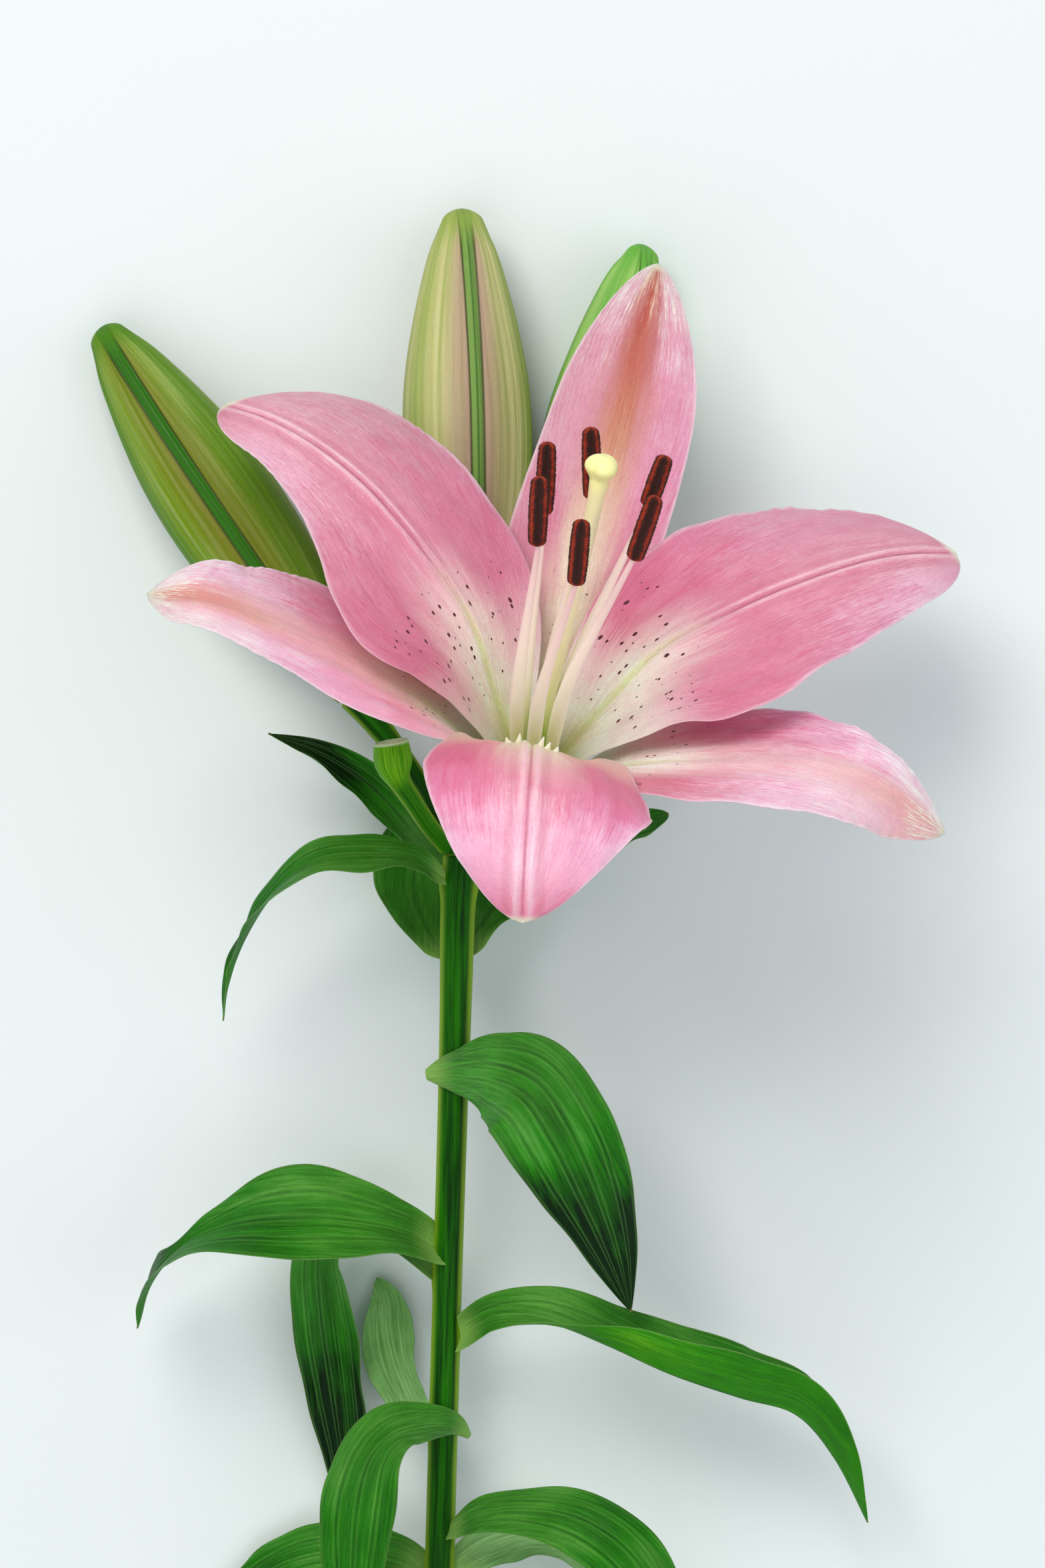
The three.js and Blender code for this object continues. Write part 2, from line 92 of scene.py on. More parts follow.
FILAMENT_RING = 3.1
FILAMENT_RADII = [0.75, 1.0, 1.35, 1.2, 0.9, 0.65]
ANTHER_RADII = [1.75, 1.9, 1.95, 1.95, 1.85, 1.6]
STAMENS = [
    dict(name="front", azimuth=0, mid=(39.2, 14.1, -1.4), top=(71.4, 21.2, 0.9),
         anther=[(72.9, 21.6, 1.1), (84.5, 15, -0.4)]),
    dict(name="front_right", azimuth=60, mid=(38.6, 9.4, 3.6), top=(73.6, 12.0, 10.9),
         anther=[(75.2, 12.5, 11.4), (86.8, 5.2, 13.2)]),
    dict(name="back_right", azimuth=120, mid=(38.2, 2.2, 3.85), top=(76, -2.8, 11.8),
         anther=[(77.6, -3.4, 12.1), (87.9, -7.6, 13.6)]),
    dict(name="back", azimuth=180, mid=(36.3, -3.9, -0.6), top=(69.7, -10.6, 0.8),
         anther=[(71.2, -11.1, 0.9), (84.8, -16.7, -2.4)]),
    dict(name="back_left", azimuth=240, mid=(35.5, 1.0, -5.4), top=(69, -3.2, -7.8),
         anther=[(70.5, -3.2, -8.1), (84.0, -9.7, -10.3)]),
    dict(name="front_left", azimuth=300, mid=(37, 8.4, -6.4), top=(71.6, 11.2, -7.8),
         anther=[(73.2, 11.6, -8.1), (84.9, 4, -10.4)]),
]
PISTIL_PATH = [(0.6, 0, 0), (20, 1.5, 0), (57, 4.6, 1.2), (75.6, 4.6, 1.5), (91.5, 2, 1.4)]
PISTIL_RADII = [1.5, 1.8, 1.8, 1.45, 1.4, 1.4, 1.45, 1.5, 1.6, 1.75]

BUD_PROFILE = [0.27, 0.5, 0.74, 0.9, 0.98, 1.02, 1.02, 0.97, 0.86, 0.71, 0.52, 0.22]
# seam: angle of the seam that faces up, measured from the bud's left.
BUDS = [
    dict(name="bud_left", start=(-37.2, 19.4, 16.4), end=(-91.5, 99.3, 8.4), radius=12.4,
         seam=84),
    dict(name="bud_middle", start=(-11.2, 25.6, 15.3), end=(-13.3, 124.6, 12.4), radius=13.5,
         seam=102),
    dict(name="bud_right", start=(5.3, 34.6, 12.6), end=(26.2, 117.2, 8.6), radius=11.2,
         seam=115),
]

STALKS = [
    dict(name="stalk_flower", radii=[1.7, 2.0, 2.6, 4.2], path=[
        (-12.2, -13.6, 35.5), (-8.6, -9, 43), (-4.4, -6.4, 48.4), (-0.6, -6.2, 50.6)]),
    dict(name="stalk_left", radii=[1.6, 1.8, 2.0, 2.6, 3.2], path=[
        (-17.0, -12, 30.2), (-20.0, -3.0, 27.2), (-25.2, 5.2, 22), (-31.2, 12.6, 18),
        (-36.6, 18.7, 16.5)]),
    dict(name="stalk_middle", radii=[1.6, 1.8, 2.2, 3.3], path=[
        (-13.6, -12.6, 27.6), (-12, -0.5, 23), (-11.2, 12.5, 18), (-11.2, 24.6, 15.4)]),
    dict(name="stalk_right", radii=[1.6, 1.8, 2.0, 2.6], path=[
        (-9.2, -13.2, 29.6), (-6.2, 0.6, 25), (-0.8, 17.2, 17.6), (5.1, 33.8, 12.8)]),
    dict(name="stalk_stub", radii=[1.8, 1.9, 2.0, 2.1, 2.4, 4.0, 3.7], path=[
        (-16.2, -13.4, 34.6), (-19.4, -9.4, 38), (-23, -4, 40.4), (-26.6, 2, 42),
        (-27.8, 9, 43)]),
]

# at is (y, angle round the stem); 0 is right, 90 up, 180 left. Angles in roll, cup and fold run
# along the leaf; wide scales its two sides.
LEAVES = [
    dict(name="leaf_top_left", at=(-20.5, 140), width=17, base=0.14, cup=[15], fold=[8],
         roll=[-35, -50, -55, -70, -80, -80],
         wide=([1, 1.1, 1.1, 1, 1], [0.8, 0.75, 0.6, 0.75, 1.1]), path=[
             (-23.1, -15.8, 40), (-33.6, -14.9, 46), (-44, -16.3, 48), (-52.3, -22.6, 46),
             (-58.8, -32.3, 41), (-62.6, -42.3, 36), (-63.8, -50.4, 32)]),
    dict(name="leaf_top_left_back", at=(-21, 190), width=13, base=0.3, roll=[-40], cup=[30],
         fold=[12], path=[
             (-26, -9.5, 15), (-34, -1, 13), (-43.8, 5.9, 15), (-54.9, 10.9, 16)]),
    dict(name="leaf_top_right", at=(-21, -10), width=14, base=0.28, peak=0.55, tip=0.55,
         roll=[50], cup=[15], wide=([1], [1, 1.2]), path=[
             (-3.4, -17, 23), (9.5, -13.5, 18), (21.1, -9.8, 14.5), (31.6, -6.4, 12)]),
    dict(name="leaf_top_back", at=(-37, 265), width=33, base=0.22, peak=0.36, roll=[0],
         cup=[20], wide=([0.8, 1.2, 1.1], [0.8, 1.2, 1.1]), path=[
             (-14.8, -30, 17.5), (-14, -18, 8.5), (-12.2, -6.4, 4.5), (-10, 6.7, 2.5)]),
    dict(name="leaf_right_broad", width=25.5, base=0.1, peak=0.42,
         roll=[0, 10, 15, 5, 0, 0], cup=[-40, -15, -15, -20, -10],
         wide=([1, 1, 0.97, 0.94], [1, 1, 0.94, 0.94]), path=[
             (-20.6, -62.2, 27.6), (-14.8, -61.4, 32.2), (-6.8, -61.2, 40), (1.6, -64.4, 47.5),
             (8, -73.6, 52), (13.8, -86.1, 49.5), (19, -99.4, 45), (23, -111.8, 40)]),
    dict(name="leaf_left_broad", at=(-99.5, 165), width=24, base=0.35, peak=0.42, tip=0.95,
         roll=[-45, -42, -34, -58, -82, -110], cup=[20, 15, 5, 10, 20], fold=[8],
         wide=([1], [1, 0.88, 0.95, 1, 0.88, 0.55, 0.4, 1.7, 1.6]), path=[
             (-26.2, -95.3, 29), (-37.5, -92.8, 34), (-48.7, -92.2, 36), (-61.5, -93.6, 36),
             (-72, -98, 33), (-79.3, -106.4, 27), (-82.9, -117.1, 20)]),
    dict(name="leaf_right_long", at=(-119, 15), width=22, base=0.3, peak=0.5, tip=0.8,
         roll=[20, 38, 84, 97, 98, 96, 92], cup=[25, 32, 30, 28, 25], fold=[12, 24, 38, 36, 24],
         wide=([1, 0.95, 1.05, 1.25, 1.3, 1.1, 1], [1, 0.62, 0.8, 1.0, 1.0, 0.95]), path=[
             (-5.6, -114.2, 27), (5.1, -114.2, 33), (17.8, -118.7, 37), (32, -125.0, 38),
             (46.2, -130, 36), (58.4, -134, 33), (66.8, -144, 27), (74.3, -158.9, 20)]),
    dict(name="leaf_left_dark", at=(-106, 190), width=16, base=0.32, peak=0.5, tip=0.8,
         roll=[-50, -45, -20, -10, 0], cup=[20], fold=[12], path=[
             (-28, -98.3, 15.5), (-36.6, -95.6, 14), (-42.6, -102.4, 12.5),
             (-42.0, -116.3, 10), (-40.2, -131.1, 7), (-38.7, -146.5, 4),
             (-38.4, -163.7, 2)]),
    dict(name="leaf_back_pale", at=(-139, 200), width=13, base=0.3, peak=0.55, tip=0.7,
         roll=[0], cup=[20], wide=([1], [0.9, 0.6, 0.9, 1]), path=[
             (-24, -133.8, 10), (-27.3, -126.8, 6.5), (-29.1, -119.8, 4.6),
             (-29.7, -112.6, 3.6), (-31.7, -107.7, 3.2)]),
    dict(name="leaf_front_left", width=18, base=0.1, peak=0.45,
         roll=[0, -35, -45, -10, 0, 0], cup=[-30, 5, -20, -20],
         wide=([0.6, 0.6, 0.95, 1, 1], [1]), path=[
             (-11.6, -140.8, 17.5), (-15.2, -137.8, 23.6), (-20.8, -136.9, 30.5),
             (-27.4, -137.9, 39), (-32.2, -142.6, 45),
             (-34.6, -150.6, 48), (-35.6, -160.4, 48), (-36, -172.2, 44),
             (-37.1, -184.7, 36)]),
    dict(name="leaf_right_low", at=(-161.5, 55), width=19, base=0.2, peak=0.45,
         roll=[45, 50, 30, 10, 0], cup=[15, -10, -10],
         wide=([0.8, 0.75, 0.85, 1], [0.8, 0.9, 1, 1]), path=[
             (-7.7, -155.7, 28), (3.7, -154.1, 36), (13.5, -156, 41), (22, -161.8, 43),
             (28.4, -171.4, 40), (32.1, -182.2, 34), (33.7, -193.2, 27)]),
    dict(name="leaf_right_low_back", at=(-170, 330), width=14, base=0.35, peak=0.45,
         roll=[30, 40, 60, 90], cup=[15], path=[
             (-7.8, -165.6, 10.5), (0.9, -162.9, 9.5), (9.6, -164.6, 8.5),
             (16.1, -171.5, 6.5), (20.5, -181, 4)]),
    dict(name="leaf_left_low", at=(-170.5, 205), width=15, base=0.4, peak=0.45, roll=[-40],
         cup=[15], path=[
             (-28, -166.9, 12), (-38.2, -166.5, 11), (-49.8, -168.8, 9), (-60.1, -174.5, 6.6),
             (-67.5, -182.4, 4.5)]),
]


# ---- curves and profiles ----
def smooth_run(knots, t):
    """Catmull-Rom run through evenly spaced knots at t from 0 to 1; works on numbers or points."""
    p = np.asarray(knots, float)
    if len(p) == 1:
        return np.repeat(p, np.size(t), axis=0)
    p = np.concatenate([[2 * p[0] - p[1]], p, [2 * p[-1] - p[-2]]])
    x = np.clip(np.asarray(t, float), 0, 1) * (len(p) - 3)
    i = np.minimum(x.astype(int), len(p) - 4)
    u = (x - i).reshape((-1,) + (1,) * (p.ndim - 1))
    a, b, c, d = p[i], p[i + 1], p[i + 2], p[i + 3]
    m1, m2 = (c - a) / 2, (d - b) / 2
    return b + m1 * u + (3 * (c - b) - 2 * m1 - m2) * u**2 + (2 * (b - c) + m1 + m2) * u**3


def along_path(knots, s):
    """Points and unit tangents at fractions s of the path's length, and that length."""
    fine = smooth_run(knots, np.linspace(0, 1, 2001))
    run = np.r_[0, np.cumsum(np.linalg.norm(np.diff(fine, axis=0), axis=1))]
    at = lambda d: np.stack([np.interp(d, run, fine[:, k]) for k in range(3)], axis=1)
    length = run[-1]
    centre = at(s * length)
    step = 0.002 * length
    tangent = at(np.minimum(s * length + step, length)) - at(np.maximum(s * length - step, 0))
    return centre, tangent / np.linalg.norm(tangent, axis=1, keepdims=True), length


def unit(a):
    return a / np.linalg.norm(a, axis=-1, keepdims=True)


def ramp(x, low, high):
    """0 below low, 1 above high, smooth between."""
    t = np.clip((x - low) / (high - low), 0, 1)
    return t * t * (3 - 2 * t)


def bump(x, width):
    """Gaussian hump of the half-width given."""
    return np.exp(-((x / width) ** 2))


def wrapped(angle):
    """The same angle, between -pi and pi."""
    return np.angle(np.exp(1j * angle))


def dome(s, start):
    """Radius share that rounds a body's end off from start to 1, leaving a small closing ring."""
    return np.sqrt(np.clip(1 - np.clip((s - start) / (1 - start), 0, 1) ** 2, 0.02, 1))


def waver(x, seed, count=5, low=0.5, high=3.0):
    """Irregular smooth wave, about -1 to 1: a seeded sum of sines with mixed lengths."""
    rng = np.random.default_rng(seed)
    rate, phase = rng.uniform(low, high, count), rng.uniform(0, 2 * np.pi, count)
    return np.sin(2 * np.pi * np.multiply.outer(x, rate) + phase).sum(-1) / count**0.5


def outline(s, base, peak, rise, tip):
    """Blade half-width over its widest: a sine rise from the base, a cosine close to the tip."""
    up = base + (1 - base) * np.sin(np.pi / 2 * np.clip(s / peak, 0, 1)) ** rise
    down = np.cos(np.pi / 2 * np.clip((s - peak) / (1 - peak), 0, 1)) ** tip
    return np.where(s < peak, up, down)


def in_flower(p):
    """Points given along the flower's axis, to its front and to its right, in the working frame."""
    p = np.asarray(p, float)
    axes = np.stack([FLOWER_AXIS, FLOWER_FRONT, FLOWER_RIGHT])
    return FLOWER_CENTRE + p @ axes


def round_flower(azimuth, p):
    """(along, outward, sideways) at an azimuth round the flower's axis, as points."""
    p = np.atleast_2d(np.asarray(p, float))
    a = math.radians(azimuth)
    front = p[:, 1] * math.cos(a) - p[:, 2] * math.sin(a)
    right = p[:, 1] * math.sin(a) + p[:, 2] * math.cos(a)
    return in_flower(np.stack([p[:, 0], front, right], axis=1))


def on_stem(y, angle, reach):
    """Point at the given distance beyond the stem's surface, at height y and angle round it."""
    s = np.linspace(0, 1, 2001)
    centre, _, _ = along_path(STEM_PATH, s)
    i = int(np.argmin(abs(centre[:, 1] - y)))
    r = smooth_run(STEM_RADII, s[i : i + 1])[0] + reach
    a = math.radians(angle)
    return (centre[i, 0] + r * math.cos(a), y, centre[i, 2] + r * math.sin(a))


def stem_shift():
    """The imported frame's origin, found from the stem, whose solid is a plain tube on STEM_PATH."""
    s = np.linspace(0, 1, 23)
    centre, tangent, _ = along_path(STEM_PATH, s)
    r = smooth_run(STEM_RADII, s)[:, None]
    reach = r * np.sqrt(np.maximum(1 - tangent**2, 0))
    low, high = (centre - reach).min(0), (centre + reach).max(0)
    box = np.array(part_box("stem")) / MM
    return (box[0] + box[1]) / 2 - (low + high) / 2


SHIFT = stem_shift()


# ---- meshes ----
def add_piece(node, body, material, name=None):
    """Closed mesh in place of a node. body is its mm points, quads, end polygons and attributes."""
    points, faces, caps, attributes = body
    name = name or node + "_skin"
    mesh = bpy.data.meshes.new(name)
    loops = np.concatenate([faces.ravel(), *caps]).astype(np.int32)
    sizes = np.concatenate([np.full(len(faces), 4), [len(c) for c in caps]]).astype(int)
    starts = np.concatenate([[0], np.cumsum(sizes)[:-1]]).astype(np.int32)
    mesh.vertices.add(len(points))
    mesh.vertices.foreach_set("co", ((points + SHIFT) * MM).astype(np.float32).ravel())
    mesh.loops.add(len(loops))
    mesh.loops.foreach_set("vertex_index", loops)
    mesh.polygons.add(len(sizes))
    mesh.polygons.foreach_set("loop_start", starts)
    mesh.update(calc_edges=True)
    mesh.validate()
    mesh.polygons.foreach_set("use_smooth", np.ones(len(sizes), bool))
    for key, values in attributes.items():
        layer = mesh.attributes.new(key, "FLOAT", "POINT")
        layer.data.foreach_set("value", np.asarray(values, np.float32).ravel())
    piece = bpy.data.objects.new(name, mesh)
    bpy.context.scene.collection.objects.link(piece)
    mesh.materials.append(material)
    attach(piece, "root")
    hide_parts(node)


def ring_faces(rings, count):
    """Quads between rings of points, each ring closed on itself."""
    i, j = np.meshgrid(np.arange(rings - 1), np.arange(count), indexing="ij")
    k = (j + 1) % count
    quads = np.stack([i * count + j, i * count + k, (i + 1) * count + k, (i + 1) * count + j], -1)
    return quads.reshape(-1, 4)


def blade(spec, steps, across, thickness, relief, frame_side=None, clasp=0.0):
    """Thin closed blade: an arc across, of angle cup + fold, carried along a path and rolled.

    spec["wide"] scales the half-width along the path, on the side of negative v and of positive v.
    relief(s, v, x) gives three heights in mm: of the middle surface, of the upper skin and of the
    under skin. clasp bends the first few mm back round a stem of that radius.
    """
    s = np.linspace(0, 1, steps + 1)
    # Rows crowd toward the two edges, as the sine of an angle up to this one.
    crowd = np.pi / 2 * 0.86
    v = np.sin(np.linspace(-1, 1, across + 1) * crowd) / np.sin(crowd)
    centre, tangent, length = along_path(spec["path"], s)
    if frame_side is not None:
        normal = unit(np.cross(tangent, frame_side))
    else:
        normal = unit(np.array([0, 0, 1.0]) - tangent[:, 2:3] * tangent)
    lateral = np.cross(tangent, normal)
    roll = np.radians(smooth_run(spec.get("roll", [0]), s))[:, None]
    side = lateral * np.cos(roll) + normal * np.sin(roll)
    face = normal * np.cos(roll) - lateral * np.sin(roll)
    half = spec["width"] / 2 * outline(
        s, spec["base"], spec.get("peak", 0.42), spec.get("rise", 1), spec.get("tip", 0.9))
    half = np.maximum(half, 0.28)[:, None]
    wide = spec.get("wide", ([1], [1]))
    low, high = (smooth_run(w, s)[:, None] for w in wide)
    cup = np.radians(smooth_run(spec.get("cup", [0]), s))[:, None]
    cup = np.where(abs(cup) < 1e-3, 1e-3, cup)
    fold = np.radians(smooth_run(spec.get("fold", [0]), s))[:, None]
    vv, ss = np.meshgrid(v, s)
    half = half * (low + (high - low) * ramp(vv, -0.35, 0.35))
    sign = vv / np.sqrt(vv**2 + 0.02**2)
    turn = fold * abs(sign) + cup * abs(vv)
    x = sign * half * (np.sin(turn) - np.sin(fold * abs(sign))) / cup
    h = half * (np.cos(fold * abs(sign)) - np.cos(turn)) / cup
    out = -np.sin(turn * sign)[..., None] * side[:, None] + np.cos(turn)[..., None] * face[:, None]
    middle, upper, under = relief(ss, vv, vv * half)
    points = centre[:, None] + x[..., None] * side[:, None] + h[..., None] * face[:, None]
    if clasp:
        wrap = (1 - ramp(ss * length, 0, 9.0)) * clasp * (1 - np.cos(np.clip(x / clasp, -2, 2)))
        points = points - wrap[..., None] * tangent[:, None]
    thick = thickness / 2 * (1 - 0.75 * vv**4) * (1 - 0.35 * ss)
    fade = 1 - vv**8
    top = points + (middle + thick + upper * fade)[..., None] * out
    bottom = points + (middle - thick - under * fade)[..., None] * out
    count = 2 * (across + 1)
    grid = np.concatenate([top, bottom[:, ::-1]], axis=1)
    both = lambda a: np.concatenate([a, a[:, ::-1]], axis=1)
    strips = np.arange(across)
    first = np.stack([strips, count - 1 - strips, count - 2 - strips, strips + 1], 1)
    last = first[:, ::-1] + steps * count
    faces = np.concatenate([ring_faces(steps + 1, count), first[:, ::-1], last[:, ::-1]])
    attributes = dict(
        s=both(ss), v=both(vv), x=both(vv * half), y=both(ss * length),
        under=np.concatenate([np.zeros_like(ss), np.ones_like(ss)], axis=1))
    return grid.reshape(-1, 3), faces, [], attributes


def tube(path, radii, s, sides, shape):
    """Round closed body along a path; shape(angle, s, y) scales the radius of every point."""
    centre, tangent, length = along_path(path, s)
    across = unit(np.cross(tangent, (0.0, 0.0, 1.0)))
    up = np.cross(across, tangent)
    angle = np.linspace(0, 2 * np.pi, sides, endpoint=False)
    aa, ss = np.meshgrid(angle, s)
    r = smooth_run(radii, s)[:, None] * shape(aa, ss, ss * length)
    points = (centre[:, None] - (r * np.cos(aa))[..., None] * across[:, None]
              + (r * np.sin(aa))[..., None] * up[:, None])
    ends = [np.arange(sides)[::-1], np.arange(sides) + (len(s) - 1) * sides]
    attributes = dict(s=ss, a=aa / (2 * np.pi), y=ss * length, r=r)
    return points.reshape(-1, 3), ring_faces(len(s), sides), ends, attributes


# ---- materials ----
def colour(text):
    """Linear RGBA of an sRGB hex colour."""
    c = np.array([int(text[i : i + 2], 16) for i in (1, 3, 5)]) / 255
    c = np.where(c <= 0.04045, c / 12.92, ((c + 0.055) / 1.055) ** 2.4)
    return (*c, 1.0)


def add(tree, kind, inputs=None, out=0, stops=None, **settings):
    """Add a shader node. inputs maps sockets to values or links, and stops are hex colours.

    Returns the output asked for, or the node itself when out is None.
    """
    node = tree.nodes.new("ShaderNode" + kind)
    for key, value in settings.items():
        setattr(node, key, value)
    for key, value in (inputs or {}).items():
        if isinstance(value, bpy.types.NodeSocket):
            tree.links.new(value, node.inputs[key])
        else:
            node.inputs[key].default_value = value
    if stops:
        elements = node.color_ramp.elements
        while len(elements) < len(stops):
            elements.new(1.0)
        for element, (position, value) in zip(elements, stops):
            element.position = position
            element.color = colour(value)
    return node if out is None else node.outputs[out]


def mix(tree, fac, a, b, blend="MIX"):
    """Blend two colours; a and b are hex colours or links."""
    a = colour(a) if isinstance(a, str) else a
    b = colour(b) if isinstance(b, str) else b
    return add(tree, "Mix", {0: fac, 6: a, 7: b}, out=2, data_type="RGBA", blend_type=blend)


def maths(tree, operation, *values):
    return add(tree, "Math", dict(enumerate(values)), operation=operation)


def times(tree, a, b):
    return maths(tree, "MULTIPLY", a, b)


def scaled(tree, value, factor, offset):
    """value times factor, plus offset."""
    return maths(tree, "MULTIPLY_ADD", value, factor, offset)


def size_of(tree, value):
    return maths(tree, "ABSOLUTE", value)


def band(tree, value, low, high):
    """0 to 1 as value goes from low to high, smoothly; reversed when low is above high."""
    flip = low > high
    inputs = {0: value, 1: min(low, high), 2: max(low, high)}
    inputs.update({3: 1.0, 4: 0.0} if flip else {3: 0.0, 4: 1.0})
    return add(tree, "MapRange", inputs, interpolation_type="SMOOTHSTEP")


def attribute(tree, name):
    return add(tree, "Attribute", out="Fac", attribute_name=name)


def streaks(tree, x, y, scale_x, scale_y, seed, detail=3.0):
    """Noise drawn out along a surface: fine across, long along. Scales are per mm."""
    place = add(tree, "CombineXYZ", {0: times(tree, x, scale_x), 1: times(tree, y, scale_y), 2: seed})
    return add(tree, "TexNoise", {"Vector": place, "Scale": 1.0, "Detail": detail}, out="Fac")


def noise(tree, scale, detail=3.0):
    """Cloudy noise through the body, at a scale per metre."""
    spot = add(tree, "TexCoord", out="Object")
    return add(tree, "TexNoise", {"Vector": spot, "Scale": scale, "Detail": detail}, out="Fac")


def cells(tree, scale):
    """Distance to the nearest of many points scattered through the body, at a scale per metre."""
    spot = add(tree, "TexCoord", out="Object")
    return add(tree, "TexVoronoi", {"Vector": spot, "Scale": scale}, out="Distance")


def new_material(name):
    material = bpy.data.materials.new(name)
    material.use_nodes = True
    material.node_tree.nodes.clear()
    return material, material.node_tree


def finish_material(tree, base, roughness, height, distance, **constants):
    """Principled surface with bump; constants are set directly on its sockets."""
    bump_map = add(tree, "Bump", {"Height": height, "Distance": distance, "Strength": 1.0})
    inputs = {"Base Color": base, "Roughness": roughness, "Normal": bump_map}
    inputs.update({key.replace("_", " "): value for key, value in constants.items()})
    surface = add(tree, "BsdfPrincipled", inputs)
    add(tree, "OutputMaterial", {"Surface": surface}, out=None)


def shade(tree, base, factor, red=0.25, green=1.0, blue=0.7):
    """Deepen or lighten a colour where factor is under or over 1, each channel by its share."""
    share = lambda k: scaled(tree, maths(tree, "SUBTRACT", factor, 1.0), k, 1.0)
    tint = add(tree, "CombineXYZ", {0: share(red), 1: share(green), 2: share(blue)})
    return add(tree, "VectorMath", {0: base, 1: tint}, operation="MULTIPLY")


def wander(tree, start, *terms):
    """start plus each noise's swing about its middle, times its strength."""
    total = start
    for noise, strength in terms:
        total = scaled(tree, maths(tree, "SUBTRACT", noise, 0.5), strength, total)
    return total


def colour_ramp(tree, place, stops):
    return add(tree, "ValToRGB", {0: place}, stops=stops)


def tepal_material(name, low, centre, high, doubled, freckles, streaky=1.0):
    """Petal tissue: pink streaked from a cream throat, softly sparkling and a little translucent.

    low, centre and high are colours from base to tip along the three thirds of the blade; besides the
    tissue's own colour they hold painted light and shade.
    """
    material, t = new_material(name)
    s, v, x, y, fan = (attribute(t, k) for k in ("s", "v", "x", "y", "fan"))
    away = size_of(t, v)
    # Streaks follow the veins: patches 3 mm wide, lines 0.5 mm wide, hairs 0.2 mm wide.
    broad = streaks(t, fan, y, 0.32, 0.05, 1.0)
    fine = streaks(t, fan, y, 1.7, 0.1, 2.0)
    hair = streaks(t, fan, y, 4.5, 0.5, 3.0, 2.0)
    cloud = noise(t, 160.0, 4.0)
    grain = noise(t, 2400.0, 2.0)
    place = times(t, s, wander(
        t, 1.0, (broad, 0.2), (fine, 0.5 * streaky), (hair, 0.35 * streaky), (cloud, 0.12)))
    lean = wander(t, v, (broad, 0.4))
    base = mix(t, band(t, lean, -0.03, -0.6), colour_ramp(t, place, centre),
               colour_ramp(t, place, low))
    base = mix(t, band(t, lean, 0.03, 0.6), base, colour_ramp(t, place, high))
    # Midrib: a yellow-green line out of the throat, then two pale ridges beside a deep groove; the
    # ridges are pale partly by painted highlight, and the groove is deep pink partly by painted shade.
    off = size_of(t, x)
    throat = times(t, band(t, off, 1.8, 0.2), band(t, place, 0.5, 0.25))
    base = mix(t, times(t, throat, 0.6), base, "#DCE48C")
    if doubled:
        outer = band(t, place, 0.42, 0.56)
        ridge = band(t, size_of(t, maths(t, "SUBTRACT", off, 1.45)), 0.85, 0.1)
        base = mix(t, times(t, times(t, ridge, outer), 0.55), base, "#F8CEDB")
        groove_tint_and_shade = times(t, band(t, off, 0.62, 0.1), outer)
        base = mix(t, times(t, groove_tint_and_shade, 0.6), base, "#C45F80")
        flank = band(t, size_of(t, maths(t, "SUBTRACT", off, 3.4)), 1.5, 0.3)
        base = mix(t, times(t, times(t, flank, outer), 0.3), base, "#CC6E8A")
    calm = 0.5 + 0.5 * streaky
    base = shade(t, base, wander(t, 1.0, (broad, 0.35), (fine, 0.6 * calm), (hair, 0.75 * calm),
                                 (cloud, 0.5), (grain, 0.4)))
    rim = times(t, band(t, scaled(t, fine, 0.05, away), 0.97, 1.03), band(t, s, 0.3, 0.55))
    base = mix(t, times(t, rim, 0.5), base, "#F8DDE7")
    # Small raised dark freckles in the throat, about 1 mm long.
    cell = add(t, "CombineXYZ", {0: times(t, x, 0.4), 1: times(t, y, 0.24)})
    freckle = add(t, "TexVoronoi", {"Vector": cell, "Scale": 1.0}, out=None, voronoi_dimensions="2D")
    chance = add(t, "SeparateColor", {0: freckle.outputs["Color"]})
    zone = times(t, band(t, s, 0.13, 0.22), band(t, s, 0.47, 0.38))
    zone = times(t, zone, band(t, away, 0.88, 0.7))
    zone = times(t, zone, band(t, off, 1.0, 2.0))
    size = scaled(t, chance, 0.16, freckles - 0.2)
    size = scaled(t, maths(t, "SUBTRACT", 1.0, zone), -0.2, size)
    dot = band(t, maths(t, "SUBTRACT", freckle.outputs["Distance"], size), 0.02, -0.02)
    base = mix(t, dot, base, "#54101F")
    base = mix(t, band(t, s, 0.98, 0.998), base, "#F1EBD2")
    # Outer face: paler, with a green-cream keel.
    back = colour_ramp(t, place, [(0.0, "#A9C266"), (0.12, "#DDE3B4"), (0.3, "#EFCFD2"),
                                  (0.6, "#E5A3BE"), (1.0, "#EBC3D2")])
    keel = times(t, band(t, off, 2.4, 0.4), 0.75)
    back = shade(t, mix(t, keel, back, "#D5D9A8"), wander(t, 1.0, (fine, 0.6), (hair, 0.5)))
    base = mix(t, attribute(t, "under"), base, back)
    roughness = scaled(t, grain, 0.35, 0.3)
    height = scaled(t, fine, 1.5, scaled(t, hair, 0.8, grain))
    height = maths(t, "ADD", height, dot)
    finish_material(t, base, roughness, height, 0.00014, IOR=1.4, Subsurface_Weight=0.35,
                    Subsurface_Radius=(1.0, 0.6, 0.65), Subsurface_Scale=0.002,
                    Sheen_Weight=0.12, Sheen_Roughness=0.45, Sheen_Tint=colour("#FFE6F0"))
    return material


